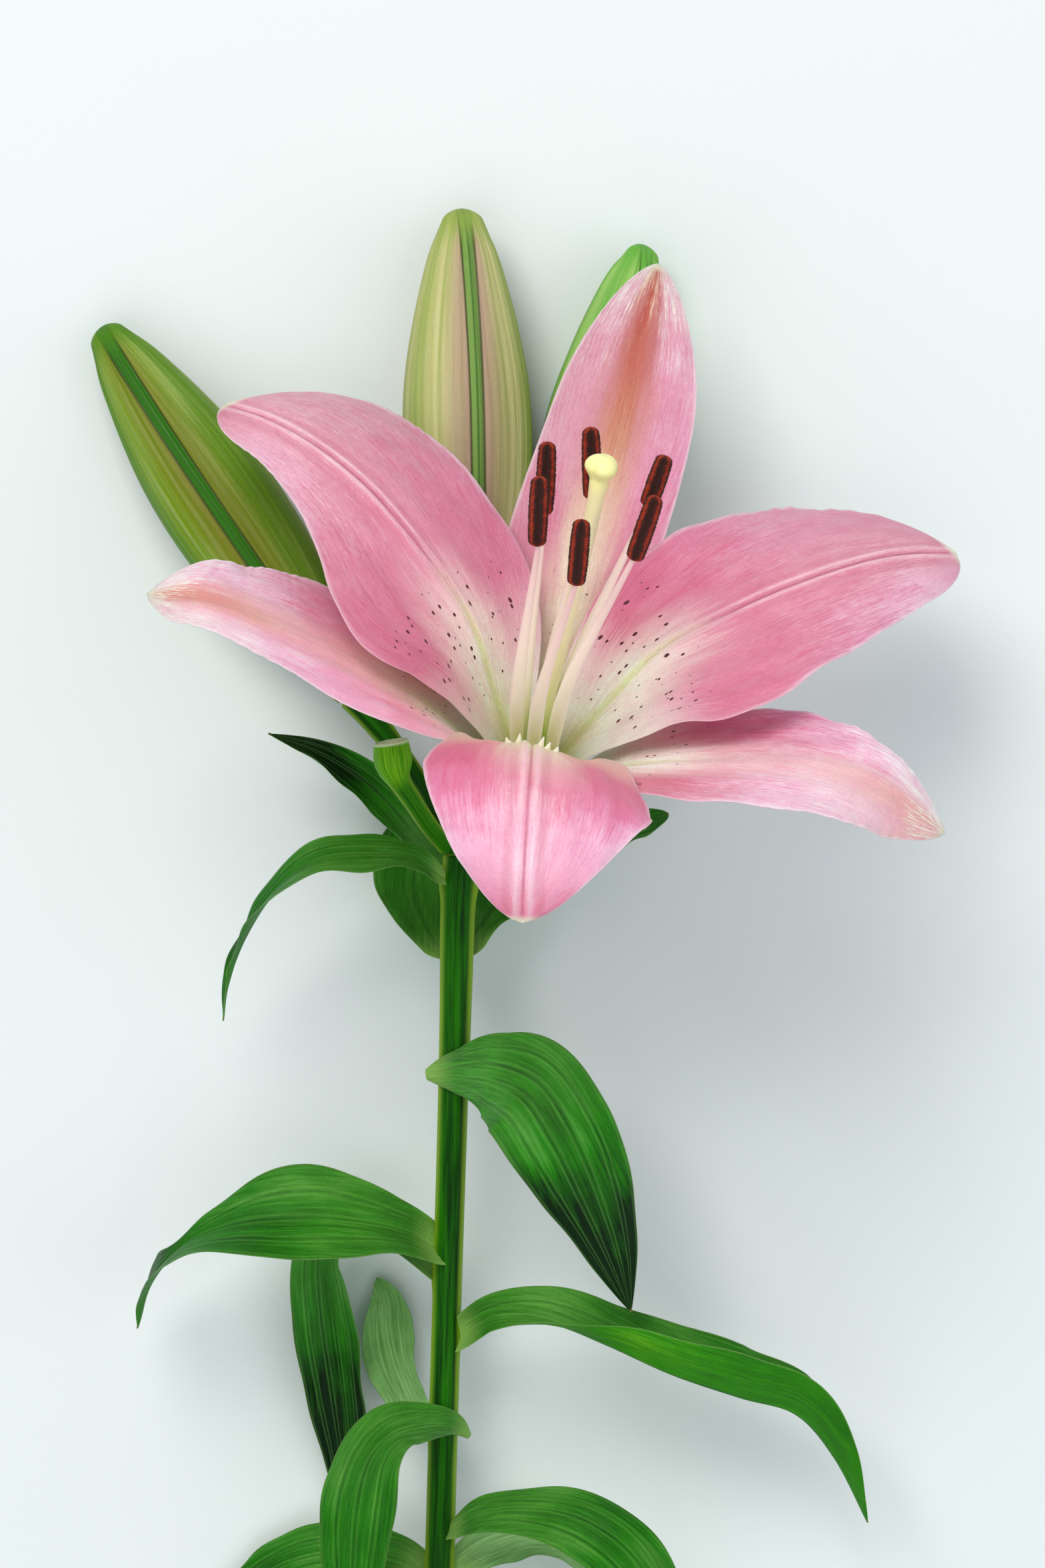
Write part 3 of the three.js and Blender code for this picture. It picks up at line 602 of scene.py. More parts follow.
def leaf_material(name, veins, deep, mid, light, tip_depth):
    """Waxy leaf: raised strips between parallel veins, a grey-green bloom partly of painted sheen,
    yellow-green under.
    """
    material, t = new_material(name)
    s, v, x, y = (attribute(t, k) for k in "svxy")
    away = size_of(t, v)
    strip = times(t, maths(t, "ADD", v, 1.0), math.pi * veins / 2)
    strip = size_of(t, maths(t, "SINE", strip))
    broad = streaks(t, x, y, 0.14, 0.02, 3.0, 2.0)
    fine = streaks(t, x, y, 1.6, 0.06, 4.0)
    hair = streaks(t, x, y, 5.0, 0.25, 5.0, 2.0)
    grain = noise(t, 1800.0)
    bloom_and_sheen = noise(t, 45.0)
    tone = scaled(t, band(t, s, 0.3, 1.0), -tip_depth, 0.46)
    tone = wander(t, tone, (broad, 1.1), (bloom_and_sheen, 1.0), (fine, 0.5))
    top = colour_ramp(t, tone, [(0.0, deep), (0.45, mid), (1.0, light)])
    # Painted shade: the vein grooves of the upper face turn toward the darkest green.
    top = mix(t, times(t, band(t, strip, 0.3, 0.0), 0.38), top, deep)
    # The half near the stem is paler in grey-green patches: painted sheen, standing in for the waxy
    # gloss.
    top = mix(t, times(t, band(t, s, 0.6, 0.15), times(t, bloom_and_sheen, 0.5)), top, light)
    # Painted highlight: pale lines on the slopes of the raised strips.
    lit = times(t, band(t, strip, 0.2, 0.42), band(t, strip, 0.7, 0.42))
    top = mix(t, times(t, lit, 0.22), top, light)
    below = colour_ramp(t, tone, [(0.0, "#1A6800"), (0.5, "#2E8600"), (1.0, "#60A410")])
    below = mix(t, times(t, band(t, strip, 0.25, 0.0), 0.35), below, "#2C700A")
    base = mix(t, attribute(t, "under"), top, below)
    base = shade(t, base, wander(t, 1.0, (fine, 0.6), (hair, 0.7), (grain, 0.3)), 1.0, 0.8, 1.0)
    base = mix(t, times(t, band(t, away, 0.96, 1.0), 0.45), base, "#7FA95C")
    base = mix(t, times(t, band(t, y, 9.0, 1.0), 0.65), base, "#93BC5E")
    base = mix(t, times(t, band(t, s, 0.985, 1.0), 0.8), base, "#6E6A33")
    roughness = scaled(t, grain, 0.25, scaled(t, bloom_and_sheen, 0.2, 0.16))
    height = scaled(t, fine, 2.0, scaled(t, hair, 1.2, grain))
    finish_material(t, base, roughness, height, 0.00015, IOR=1.45, Specular_IOR_Level=0.18)
    return material


def stem_material(name, dark, light, cup=None):
    """Stem rind: dark green strips on yellow-green, with a thin waxy gloss."""
    material, t = new_material(name)
    s, a, y = (attribute(t, k) for k in "say")
    # Place on the section in mm, at the stem's usual radius.
    radius = 3.2
    up_mm = times(t, maths(t, "SINE", times(t, a, 2 * math.pi)), radius)
    side_mm = times(t, maths(t, "COSINE", times(t, a, 2 * math.pi)), radius)
    place = add(t, "CombineXYZ", {0: up_mm, 1: side_mm, 2: times(t, y, 0.03)})
    broad = add(t, "TexNoise", {"Vector": place, "Scale": 0.7, "Detail": 3.0}, out="Fac")
    fine = add(t, "TexNoise", {"Vector": place, "Scale": 3.6, "Detail": 3.0}, out="Fac")
    tone = wander(t, broad, (fine, 0.5))
    base = mix(t, band(t, tone, 0.3, 0.72), dark, light)
    # Painted highlight: the stem's left and right sides, as seen from above, are lightened to
    # yellow-green.
    base = mix(t, times(t, band(t, size_of(t, side_mm), 1.9, 3.1), 0.75), base, "#8DB52A")
    if cup:
        base = mix(t, band(t, s, 0.6, 0.76), base, mix(t, band(t, fine, 0.35, 0.65), cup, "#4F960C"))
        base = mix(t, band(t, s, 0.97, 0.995), base, "#CFE0B4")
    cut = band(t, s, 0.9995, 0.99995)
    pith = mix(t, band(t, cells(t, 1400.0), 0.42, 0.2), "#DDE6B8", "#9DB566")
    base = mix(t, cut, base, pith)
    grain = noise(t, 1500.0)
    roughness = scaled(t, grain, 0.25, 0.26)
    height = maths(t, "ADD", times(t, fine, 2.0), times(t, grain, 0.4))
    finish_material(t, base, roughness, height, 0.00012, IOR=1.4, Specular_IOR_Level=0.12)
    return material


def bud_material(name, seam, flank, brown, keel, rib, browning):
    """Bud skin: three outer flaps with green keels, brownish margins and a green rib in each seam."""
    material, t = new_material(name)
    s, a, y, r = (attribute(t, k) for k in "sayr")
    # Angle from the nearest seam, in mm round the bud; the seams are a third of a turn apart.
    turns = maths(t, "SUBTRACT", times(t, a, 3.0), seam / 120.0 - 0.5)
    from_seam = maths(t, "SUBTRACT", maths(t, "FRACT", maths(t, "ADD", turns, 3.0)), 0.5)
    away = times(t, size_of(t, from_seam), 2.0)
    seam_mm = times(t, times(t, away, r), math.pi / 3)
    fine = streaks(t, a, y, 90.0, 0.03, 3.0)
    broad = streaks(t, a, y, 22.5, 0.0075, 0.75)
    base = mix(t, band(t, fine, 0.35, 0.65), flank, mix(t, 0.12, flank, "#F1F3C4"))
    base = mix(t, times(t, band(t, broad, 0.52, 0.4), 0.55), base, keel)
    edge = times(t, band(t, away, 0.7, 0.1), scaled(t, broad, 1.0, browning - 0.45))
    base = mix(t, edge, base, brown)
    base = mix(t, times(t, band(t, away, 0.66, 1.0), 0.7), base, keel)
    base = mix(t, band(t, seam_mm, 1.5, 1.25), base, rib)
    rims = size_of(t, maths(t, "SUBTRACT", seam_mm, 1.45))
    base = mix(t, times(t, band(t, rims, 0.4, 0.1), 0.85), base, "#35401A")
    base = mix(t, times(t, band(t, seam_mm, 0.4, 0.12), 0.75), base, "#2B5A16")
    base = mix(t, times(t, band(t, s, 0.9, 0.985), 0.8), base, keel)
    base = mix(t, times(t, band(t, s, 0.1, 0.0), 0.7), base, "#7FA83A")
    grain = noise(t, 2200.0)
    base = mix(t, scaled(t, grain, 0.5, -0.12), base, mix(t, 1.0, base, "#F4F6DC", "SOFT_LIGHT"))
    roughness = scaled(t, grain, 0.25, 0.34)
    height = maths(t, "ADD", times(t, fine, 2.2), times(t, grain, 0.4))
    finish_material(t, base, roughness, height, 0.00014, IOR=1.42, Specular_IOR_Level=0.25,
                    Subsurface_Weight=0.15, Subsurface_Radius=(0.7, 1.0, 0.3),
                    Subsurface_Scale=0.0015, Sheen_Weight=0.03, Sheen_Roughness=0.5)
    return material


def thread_material(name, stops, gloss, subsurface):
    """Filament or pistil tissue: wet-looking and translucent, its colour runs from base to tip."""
    material, t = new_material(name)
    s, a, y = (attribute(t, k) for k in "say")
    fine = streaks(t, a, y, 14.0, 0.12, 0.0, 2.0)
    base = colour_ramp(t, wander(t, s, (fine, 0.06)), stops)
    base = mix(t, scaled(t, fine, 0.7, -0.15), base, mix(t, 1.0, base, "#FFFBEA", "SOFT_LIGHT"))
    grain = noise(t, 2400.0, 2.0)
    roughness = scaled(t, grain, 0.2, gloss)
    height = maths(t, "ADD", fine, times(t, grain, 0.4))
    finish_material(t, base, roughness, height, 0.00008, IOR=1.42,
                    Subsurface_Weight=subsurface, Subsurface_Radius=(1.0, 0.8, 0.5),
                    Subsurface_Scale=0.0015)
    return material


def anther_material():
    """Ripe anther: near-black maroon furrow, rims crusted with orange-red pollen grains."""
    material, t = new_material("anther pollen")
    rim = attribute(t, "rim")
    grain = cells(t, 5200.0)
    clump = noise(t, 900.0, 4.0)
    dust = maths(t, "ADD", rim, scaled(t, clump, 1.3, -0.72))
    base = colour_ramp(t, dust, [
        (0.0, "#120101"), (0.35, "#340503"), (0.65, "#741206"), (1.0, "#A42C0E")])
    base = mix(t, times(t, band(t, grain, 0.45, 0.15), 0.25), base, "#8E220B")
    roughness = scaled(t, clump, 0.2, 0.72)
    height = maths(t, "ADD", times(t, grain, -1.0), times(t, clump, 1.5))
    finish_material(t, base, roughness, height, 0.00018, IOR=1.45, Sheen_Weight=0.12,
                    Sheen_Roughness=0.6, Sheen_Tint=colour("#FF8A50"))
    return material


def floor_material():
    """Matt painted board: pale grey-blue with the faintest roller texture."""
    material, t = new_material("pale board")
    base = mix(t, noise(t, 3.0), "#DDE5E6", "#E3EAEB")
    finish_material(t, base, 0.9, noise(t, 700.0, 2.0), 0.00005, IOR=1.45)
    return material


# Colours from base to tip along the lower, middle and upper third of each open tepal. Besides the
# tissue's own colour they hold painted light and shade: the sides differ partly by painted light, and
# the throats and the left sepal's lower side are lightened as painted light against shadow.
TEPAL_SKINS = {
    "petal_front": tepal_material(
        "front petal skin",
        # Painted highlight in part: the pale band about 0.8 to 0.9 of the way out, palest in the
        # middle.
        [(0.0, "#B9C66A"), (0.2, "#E6D6BC"), (0.4, "#E2A79F"), (0.5, "#DC6A8C"), (0.6, "#DC6A8E"),
         (0.72, "#E480A6"), (0.84, "#F1AFCA"), (0.95, "#EF9DBA"), (1.0, "#E47E9C")],
        [(0.0, "#A9BE4E"), (0.4, "#D0D49A"), (0.52, "#EFE2C4"), (0.62, "#EDBBBB"), (0.7, "#E995AA"),
         (0.8, "#F5BDD4"), (0.9, "#F6C2D7"), (1.0, "#EE8FA8")],
        [(0.0, "#B9C66A"), (0.2, "#E6D6BC"), (0.4, "#E2A79F"), (0.5, "#DB6689"), (0.6, "#DA668C"),
         (0.72, "#E07AA0"), (0.84, "#F0B0CB"), (0.95, "#EF9DBA"), (1.0, "#E47E9C")],
        True, 0.1, 0.3),
    "petal_right": tepal_material(
        "right petal skin",
        [(0.0, "#B6CA68"), (0.14, "#FAF6E4"), (0.24, "#F6DAD8"), (0.34, "#D8708F"),
         (0.5, "#D97A9A"), (0.7, "#DA92AD"), (0.9, "#D68BA4"), (1.0, "#D88FA8")],
        [(0.0, "#A9BE4E"), (0.12, "#E8E6B4"), (0.22, "#FDF8E6"), (0.32, "#FAEEE2"), (0.4, "#F2CDD0"),
         (0.5, "#DF88A2"), (0.8, "#DE93A8"), (0.92, "#E8A6BA"), (1.0, "#DB7E97")],
        [(0.0, "#B6CA68"), (0.16, "#FEF8EC"), (0.27, "#F8E0DE"), (0.33, "#EDB4C2"), (0.4, "#DB7A9A"),
         (0.6, "#D9839F"), (0.75, "#E29CB6"), (0.88, "#EDB4CB"), (1.0, "#E4A0B6")],
        True, 0.19),
    "petal_left": tepal_material(
        "left petal skin",
        [(0.0, "#B9C66A"), (0.13, "#FAF6E4"), (0.21, "#F2C8CC"), (0.32, "#D06A8A"),
         (0.5, "#D47B98"), (0.68, "#DF9AB1"), (0.84, "#EFB2CA"), (0.95, "#E19DB2"), (1.0, "#DB8199")],
        [(0.0, "#A4B54D"), (0.12, "#E8E4B0"), (0.22, "#FDF6E2"), (0.31, "#F8E6DC"), (0.39, "#EFC4C9"),
         (0.5, "#DE8AA4"), (0.8, "#DF98AC"), (0.92, "#EBABC0"), (1.0, "#DA8098")],
        [(0.0, "#B0BE5A"), (0.14, "#FBF8E8"), (0.24, "#F0CCCE"), (0.37, "#CF7391"), (0.6, "#D17C99"),
         (0.8, "#D290A5"), (1.0, "#DD9EB3")],
        True, 0.19),
    "sepal_right": tepal_material(
        "right sepal skin",
        [(0.0, "#C3C878"), (0.18, "#F6EEDC"), (0.29, "#EAB4BA"), (0.4, "#D05F86"), (0.5, "#DC759A"),
         (0.6, "#E793B4"), (0.75, "#F0B2CB"), (0.9, "#F5D9E4"), (1.0, "#F5EAE6")],
        [(0.0, "#B9C56C"), (0.2, "#FFFCEC"), (0.38, "#FFF6EE"), (0.5, "#EFBAC3"), (0.7, "#F2C0CA"),
         (0.8, "#EAB6B8"), (0.93, "#E4A4A4"), (1.0, "#F5E8DC")],
        [(0.0, "#C3C878"), (0.22, "#F6DCCC"), (0.3, "#E48E9E"), (0.42, "#DA7A92"), (0.5, "#E494AC"),
         (0.6, "#F0B4CC"), (0.78, "#F6C8D8"), (0.92, "#E8ABAC"), (1.0, "#F2E2D6")],
        False, 0.16),
    "sepal_back": tepal_material(
        "back sepal skin",
        [(0.0, "#B7C167"), (0.2, "#E6DEC8"), (0.32, "#DA9DA0"), (0.45, "#D0819A"), (0.6, "#D294A8"),
         (0.8, "#D498AB"), (0.93, "#DDB2BF"), (1.0, "#ECDCD6")],
        [(0.0, "#B0B950"), (0.2, "#E3D1B1"), (0.38, "#EBD8C6"), (0.52, "#DEC3AA"), (0.62, "#CE967C"),
         (0.7, "#C47C66"), (0.82, "#BC6052"), (0.92, "#B65C4C"), (1.0, "#DCB49C")],
        [(0.0, "#B7C167"), (0.2, "#E9E2D0"), (0.32, "#E0AAAC"), (0.45, "#D7819C"), (0.6, "#D98FAC"),
         (0.8, "#DC9CB4"), (0.93, "#DFB2C0"), (1.0, "#ECDCD6")],
        False, 0.1),
    "sepal_left": tepal_material(
        "left sepal skin",
        [(0.0, "#C3C878"), (0.2, "#FBF4E0"), (0.3, "#F6C2C4"), (0.42, "#FA9CB8"), (0.5, "#FFAECA"),
         (0.6, "#F8A8C8"), (0.72, "#F8C0D6"), (0.88, "#F2CBD6"), (1.0, "#F0E2DA")],
        [(0.0, "#B9C56C"), (0.22, "#FCF8E2"), (0.36, "#F8E6D2"), (0.5, "#F2C0C0"), (0.6, "#F2B2BE"),
         (0.7, "#EBB0B4"), (0.82, "#DB948A"), (0.93, "#D68C84"), (1.0, "#F2E4D4")],
        [(0.0, "#C3C878"), (0.2, "#F2EEDA"), (0.3, "#E890A0"), (0.4, "#DA7294"), (0.5, "#E486AC"),
         (0.6, "#E692B2"), (0.72, "#EFB2CA"), (0.88, "#EDBED0"), (1.0, "#F0E4E6")],
        False, 0.17),
}
LEAF_SKIN = leaf_material("leaf skin", 4, "#053C00", "#1C7200", "#62A040", 0.14)
DARK_LEAF_SKIN = leaf_material("dark leaf skin", 5, "#002200", "#207E00", "#6EAC54", 0.75)
PALE_LEAF_SKIN = leaf_material("pale leaf skin", 4, "#44842E", "#7CB464", "#A2C890", 0.05)
STEM_SKIN = stem_material("stem rind", "#013000", "#1E6A00")
STUB_SKIN = stem_material("stub rind", "#175A00", "#3E8E08", cup="#7ABC1C")
BUD_SKINS = {
    "bud_left": bud_material(
        "green bud skin", BUDS[0]["seam"], "#6A8A08", "#706A10", "#467A04", "#2E6E10", 0.7),
    "bud_middle": bud_material(
        "ripe bud skin", BUDS[1]["seam"], "#B6B478", "#A88C7A", "#88A044", "#74984A", 0.95),
    "bud_right": bud_material(
        "young bud skin", BUDS[2]["seam"], "#8CC05C", "#93B45C", "#5FA83A", "#6DB04A", 0.4),
}
FILAMENT_SKIN = thread_material("filament skin", [
    (0.0, "#C4DA6A"), (0.18, "#EEF2B4"), (0.42, "#FFFAE8"), (0.72, "#FAE0D6"), (1.0, "#F2BEC4")],
    0.35, 0.3)
CREST_SKIN = thread_material("crest skin", [
    (0.0, "#EBD9C4"), (0.4, "#F1EBC8"), (1.0, "#FCF8E6")], 0.35, 0.3)
PISTIL_SKIN = thread_material("pistil skin", [
    (0.0, "#8DB23C"), (0.22, "#A9C85C"), (0.3, "#DDE2A6"), (0.7, "#F1E8C2"), (0.9, "#F2E6B0"),
    (0.95, "#F2EC9C"), (1.0, "#F4EFA4")], 0.3, 0.3)
ANTHER_SKIN = anther_material()


# ---- tepals ----
def tepal_relief(spec, seed):
    """Double-ridged or smooth midrib, soft pleats, parallel veins and an uneven ruffled rim."""
    petal = spec["name"].startswith("petal")

    def relief(s, v, x):
        rib = ramp(s, 0.22, 0.4) * (1 - ramp(s, 0.9, 1.0))
        if petal:
            ridge = 0.5 * (bump(x - 1.35, 0.8) + bump(x + 1.35, 0.8)) - 0.45 * bump(x, 0.75)
            ridge = ridge + 0.75 * bump(x, 6.5)
        else:
            ridge = 0.35 * bump(x, 4.5) - 0.25 * bump(x, 0.9)
        ridge = ridge * rib - 0.35 * bump(x, 1.3) * (1 - ramp(s, 0.2, 0.45))
        body = ramp(s, 0.1, 0.3) * (1 - ramp(s, 0.85, 1.0))
        pleats = 0.16 * np.cos(2 * np.pi * x / 7.5 + 2.2 * waver(s, seed, 3, 0.3, 1.2)) * body
        veins = 0.035 * np.cos(2 * np.pi * x / 1.9 + 1.5 * waver(s, seed + 1, 3, 0.5, 2)) * body
        rim = abs(v) ** 5 * body
        ruffle = 0.45 if petal else 0.25
        wave = waver(s + 0.1 * np.sign(v), seed + 2, 6, 2.0, 8.5)
        crinkle = 0.12 * waver(s + 0.3 * np.sign(v), seed + 4, 5, 24, 40) * ramp(s, 0.5, 0.8)
        broad = 0.5 * v * waver(s, seed + 3, 3, 0.4, 1.4) * body
        return (ruffle * wave + crinkle) * rim + broad + pleats, ridge + veins, 0.5 * ridge + veins

    return relief


for number, spec in enumerate(TEPALS):
    a = math.radians(spec["azimuth"])
    side = FLOWER_RIGHT * math.cos(a) - FLOWER_FRONT * math.sin(a)
    shaped = dict(spec, path=round_flower(spec["azimuth"], spec["path"]))
    relief = tepal_relief(spec, 10 * number + 3)
    body = blade(shaped, 190, 66, 0.85, relief, frame_side=side)
    attributes = body[-1]
    attributes["fan"] = attributes["v"] * spec["width"] / 2 / (0.35 + 0.85 * attributes["s"])
    add_piece(spec["name"], body, TEPAL_SKINS[spec["name"]])


# ---- leaves ----
def leaf_relief(seed, veins, depth):
    """Raised strips between parallel veins, a gentle waver and slightly uneven edges."""
    def relief(s, v, x):
        body = ramp(s, 0.03, 0.18) * (1 - ramp(s, 0.8, 1.0))
        strips = abs(np.sin(np.pi * veins * (v + 1) / 2)) ** 0.8 - 0.6
        keel = bump(x, 0.7) * ramp(s, 0.0, 0.1) * (1 - ramp(s, 0.7, 1.0))
        waves = 0.5 * v * waver(s, seed, 4, 0.5, 2.4) + 0.35 * abs(v) ** 3 * waver(s, seed + 1, 5, 2, 7)
        top = depth * strips * body - 0.22 * keel
        return waves * body, top, -0.6 * depth * strips * body + 0.35 * keel

    return relief


for number, spec in enumerate(LEAVES):
    foot = [on_stem(*spec["at"], reach=-0.35)] if "at" in spec else []
    shaped = dict(spec, path=[*foot, *spec["path"]])
    pale = spec["name"] in ("leaf_back_pale", "leaf_right_low_back")
    dark = spec["name"] in ("leaf_right_broad", "leaf_left_dark", "leaf_top_left_back")
    skin = PALE_LEAF_SKIN if pale else DARK_LEAF_SKIN if dark else LEAF_SKIN
    relief = leaf_relief(200 + 10 * number, 5 if pale else 7, 0.16 if pale else 0.24)
    add_piece(spec["name"], blade(shaped, 170, 56, 0.5, relief, clasp=3.3), skin)


def flattened(angle, s, y):
    """Slightly flat section with five faint ridges."""
    return 1 + 0.12 * np.cos(2 * angle) + 0.02 * np.cos(5 * angle)


# ---- crest points: soft cream tips where the front petal's lip turns over ----
def lip_point(spec, offset):
    """Point just off the upper skin, offset mm from the midrib, where the petal reaches furthest."""
    centre, _, _ = along_path(round_flower(spec["azimuth"], spec["path"]), np.linspace(0, 1, 400))
    reach = centre @ np.array([0, 1.0, 0.04])
    return centre[int(np.argmax(reach))] + offset * FLOWER_RIGHT + (0, 0.1, 0.3)


# Each point is (mm sideways, mm high, lean sideways).
CREST = [(-4.6, 1.8, -0.3), (-2.6, 3.2, 0.1), (-1.0, 2.0, -0.2), (1.6, 3.6, 0.3), (3.0, 2.6, 0.4),
         (5.0, 1.9, 0.3)]
for number, (offset, height, lean) in enumerate(CREST):
    foot = lip_point(TEPALS[0], offset)
    way = unit(np.array([lean, 0.8, 0.6]))
    path = [foot - 0.6 * way, foot + 0.5 * height * way, foot + height * way]
    body = tube(path, [1.0, 0.75, 0.4, 0.12], np.linspace(0, 1, 24), 24, flattened)
    add_piece("petal_front", body, CREST_SKIN, name=f"crest_{number + 1}_skin")


# ---- stem and stalks ----
def stem_shape(angle, s, y):
    """Shallow ribs, a front furrow near the top, swollen leaf joints and old leaf scars."""
    ribs = 0.012 * np.cos(13 * angle + 0.6 * waver(s, 61, 3, 0.5, 2))
    furrow = -0.07 * bump(wrapped(angle - 1.72), 0.12) * (1 - ramp(y, 30, 75))
    joints = np.zeros_like(s)
    scars = np.zeros_like(s)
    for leaf in LEAVES:
        height, turn = leaf.get("at", (leaf["path"][0][1], 90))
        near = y - (STEM_PATH[0][1] - height) * STEM_SLOPE
        facing = wrapped(angle - math.radians(turn))
        joints = joints + 0.10 * bump(near - 0.6, 2.6) * bump(facing, 0.9)
    for k in range(11):
        near = y - (166 + 7.6 * k)
        facing = wrapped(angle - 2.4 * k)
        arc = near + 1.4 * facing**2
        scars = scars + (0.09 * bump(arc, 0.5) - 0.035 * bump(arc + 1.1, 0.7)) * bump(facing, 0.75)
    return 1 + ribs + furrow + joints + scars


stem_s = np.r_[np.linspace(0, 0.9985, 900), 0.9993, 0.99975, 1.0]
add_piece("stem", tube(STEM_PATH, STEM_RADII, stem_s, 72, stem_shape), STEM_SKIN)

for number, spec in enumerate(STALKS):
    def stalk_shape(angle, s, y, seed=number):
        """Nine shallow ribs on a stalk of uneven thickness."""
        ribs = 0.02 * np.cos(9 * angle + waver(s, 70 + seed, 3, 0.5, 1.5))
        return 1 + ribs + 0.02 * waver(s, 80 + seed, 4, 1, 4)

    body = tube(spec["path"], spec["radii"], np.linspace(0, 1, 160), 48, stalk_shape)
    skin = STUB_SKIN if spec["name"] == "stalk_stub" else STEM_SKIN
    add_piece(spec["name"], body, skin)


# ---- buds ----
for spec in BUDS:
    seam = math.radians(spec["seam"])

    def bud_shape(angle, s, y, seam=seam, spec=spec):
        """Three keels with a seam between each pair; a petal's rib shows in every seam."""
        turn = wrapped(3 * (angle - seam)) / 3
        radius = spec["radius"] * smooth_run(BUD_PROFILE, s[:, 0])[:, None]
        mm = turn * radius
        body = ramp(s, 0.05, 0.2) * (1 - ramp(s, 0.9, 1.0))
        keels = -0.045 * np.cos(3 * (angle - seam)) * ramp(s, 0.0, 0.15)
        rib = (0.38 * bump(mm, 0.75) - 0.55 * bump(abs(mm) - 1.25, 0.35)) * body / radius
        flutes = 0.11 * np.cos(angle * 42 + 0.8 * waver(s, 91, 3, 0.5, 2)) * body / radius
        lobes = -0.16 * np.cos(3 * (angle - seam)) * ramp(s, 0.93, 1.0)
        return (1 + keels + rib + flutes + lobes) * dome(s, 0.975)

    bud_s = np.r_[np.linspace(0, 0.97, 220), 0.97 + 0.03 * np.sin(np.linspace(0.05, 1, 24) * np.pi / 2)]
    radii = np.array(BUD_PROFILE) * spec["radius"]
    body = tube([spec["start"], spec["end"]], radii, bud_s, 180, bud_shape)
    # The skin lies a hair above the surface under it.
    heights = body[0][:, 2]
    heights[:] = np.maximum(heights, 0.05 - SHIFT[2])
    add_piece(spec["name"], body, BUD_SKINS[spec["name"]])


# ---- stamens and pistil ----
def from_furrows(angle):
    """Angles from an anther's upper and lower furrow."""
    return wrapped(angle - np.pi / 2), wrapped(angle + np.pi / 2)


def anther_shape(angle, s, y):
    """Two lobes with a furrow between them above and below, and a crust of pollen."""
    rng = np.random.default_rng(17)
    crust = rng.normal(0, 1, s.shape)
    crust = (crust + np.roll(crust, 1, 0) + np.roll(crust, 1, 1) + np.roll(crust, -1, 1)) / 4
    up, down = from_furrows(angle)
    furrows = -0.34 * bump(up, 0.33) - 0.3 * bump(down, 0.35)
    nose = np.clip(np.minimum(s, 1 - s) / 0.09, 0, 1)
    end = np.sqrt(np.clip(1 - (1 - nose) ** 2, 0.01, 1))
    return (1 + furrows + 0.07 * crust) * end


for spec in STAMENS:
    foot = round_flower(spec["azimuth"], (1.2, FILAMENT_RING, 0))[0]
    neck = round_flower(spec["azimuth"], (9, FILAMENT_RING + 0.65, 0))[0]
    anther = in_flower(spec["anther"])
    joint = anther[0] + 0.16 * (anther[1] - anther[0]) - 0.5 * FLOWER_FRONT
    path = [foot, neck, in_flower(spec["mid"]), in_flower(spec["top"]), joint]
    body = tube(path, FILAMENT_RADII + [0.4], np.linspace(0, 1, 150), 32, flattened)
    add_piece(f"filament_{spec['name']}", body, FILAMENT_SKIN)
    # Rings crowd toward both rounded ends.
    anther_s = 0.5 - 0.5 * np.cos(np.linspace(0.0, 1, 110) * np.pi)
    body = tube(anther, ANTHER_RADII, anther_s, 72, anther_shape)
    attributes = body[-1]
    up, down = from_furrows(attributes["a"] * 2 * np.pi)
    ends = bump(attributes["s"], 0.05) + bump(attributes["s"] - 1, 0.05)
    attributes["rim"] = np.clip(bump(abs(up) - 0.75, 0.3) + 0.6 * ends + 0.4 * bump(down, 1.2), 0, 1)
    add_piece(f"anther_{spec['name']}", body, ANTHER_SKIN)


def pistil_shape(angle, s, y):
    """Six-ribbed ovary, slim style and a swollen stigma of three pads with clefts between."""
    ovary = 0.07 * np.cos(6 * angle) * (1 - ramp(s, 0.16, 0.22))
    cleft = abs(wrapped(3 * angle)) / 3
    pads = (0.1 * np.cos(3 * angle) - 0.2 * bump(cleft - np.pi / 3, 0.12)) * ramp(s, 0.93, 0.97)
    flare = 0.2 * ramp(s, 0.88, 0.95) + 0.75 * ramp(s, 0.94, 0.972)
    return (1 + ovary + flare + pads) * dome(s, 0.972)


pistil_s = np.r_[np.linspace(0, 0.9, 150), np.linspace(0.902, 0.96, 40),
                 0.96 + 0.04 * np.sin(np.linspace(0.03, 1, 26) * np.pi / 2)]
body = tube(in_flower(PISTIL_PATH), PISTIL_RADII, pistil_s, 64, pistil_shape)
add_piece("pistil", body, PISTIL_SKIN)


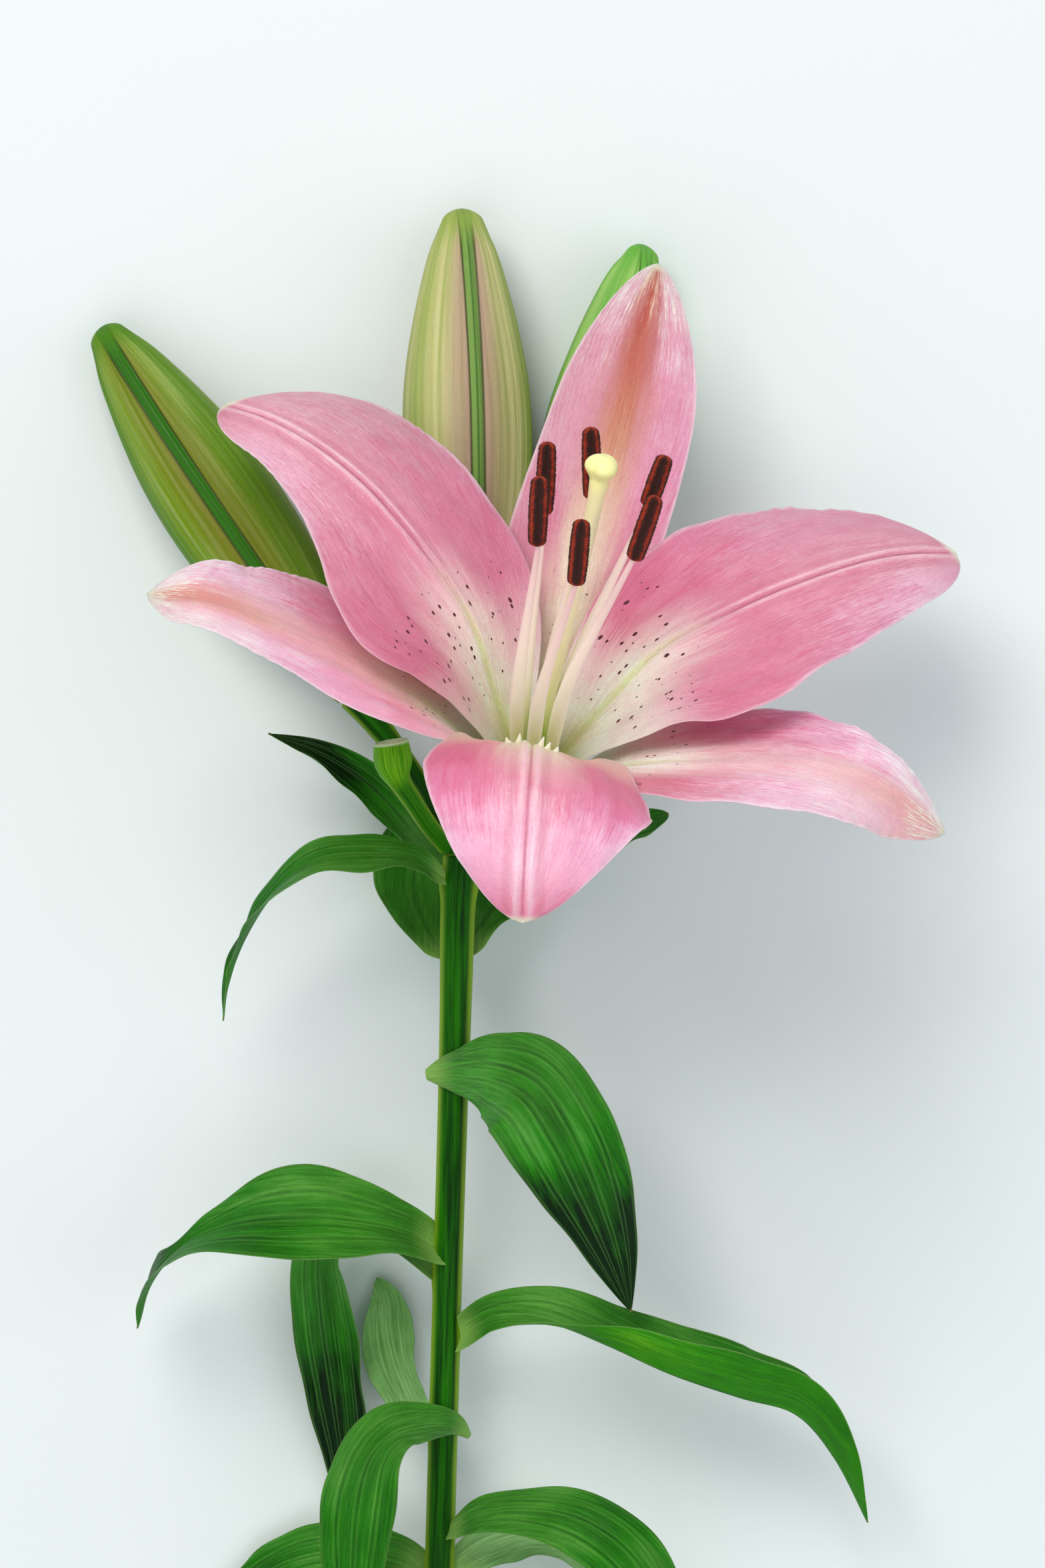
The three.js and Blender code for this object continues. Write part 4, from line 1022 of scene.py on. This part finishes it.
# ---- floor, light and camera ----
def area_light(name, place, aim, size, power, tint):
    """Square soft light at place, turned toward aim (metres and watts)."""
    data = bpy.data.lights.new(name, "AREA")
    data.energy, data.size, data.color = power, size, colour(tint)[:3]
    lamp = bpy.data.objects.new(name, data)
    direction = np.array(aim, float) - np.array(place, float)
    lamp.location = place
    yaw = math.atan2(direction[1], direction[0])
    pitch = math.acos(-direction[2] / np.linalg.norm(direction))
    lamp.rotation_euler = (pitch, 0.0, yaw - math.pi / 2)
    bpy.context.scene.collection.objects.link(lamp)


floor = bpy.data.meshes.new("floor")
floor.from_pydata([(-6, -6, 0), (6, -6, 0), (6, 6, 0), (-6, 6, 0)], [], [(0, 1, 2, 3)])
floor.materials.append(floor_material())
ground = bpy.data.objects.new("floor", floor)
bpy.context.scene.collection.objects.link(ground)

area_light("key", (-0.45, 0.95, 1.35), (0, 0.02, 0.04), 0.9, 17, "#FFFCF4")
area_light("fill", (1.1, -0.2, 1.3), (0, 0, 0.04), 1.6, 7.5, "#F6FAFF")
area_light("top", (-0.3, -0.8, 1.8), (0, -0.1, 0), 1.6, 10, "#FFFFFF")

world = bpy.data.worlds.new("studio")
bpy.context.scene.world = world
world.use_nodes = True
world.node_tree.nodes["Background"].inputs["Color"].default_value = colour("#EEF3F6")
world.node_tree.nodes["Background"].inputs["Strength"].default_value = 0.45

# The camera looks straight down. At VIEW_DISTANCE below it, near the flower's middle, a length of
# VIEW_HEIGHT fills the view from top to bottom.
SENSOR_HEIGHT, CAMERA_HEIGHT, VIEW_DISTANCE, VIEW_HEIGHT = 24.0, 1250, 1200, 329.3
lens = bpy.data.cameras.new("camera")
lens.sensor_fit = "VERTICAL"
lens.sensor_height = SENSOR_HEIGHT
lens.lens = SENSOR_HEIGHT * VIEW_DISTANCE / VIEW_HEIGHT
lens.clip_start, lens.clip_end = 0.05, 20
camera = bpy.data.objects.new("camera", lens)
camera.location = (SHIFT[0] * MM, SHIFT[1] * MM, (CAMERA_HEIGHT + SHIFT[2]) * MM)
bpy.context.scene.collection.objects.link(camera)
bpy.context.scene.camera = camera

# Plain colour management, so that a hex colour keeps its full strength.
bpy.context.scene.view_settings.view_transform = "Standard"
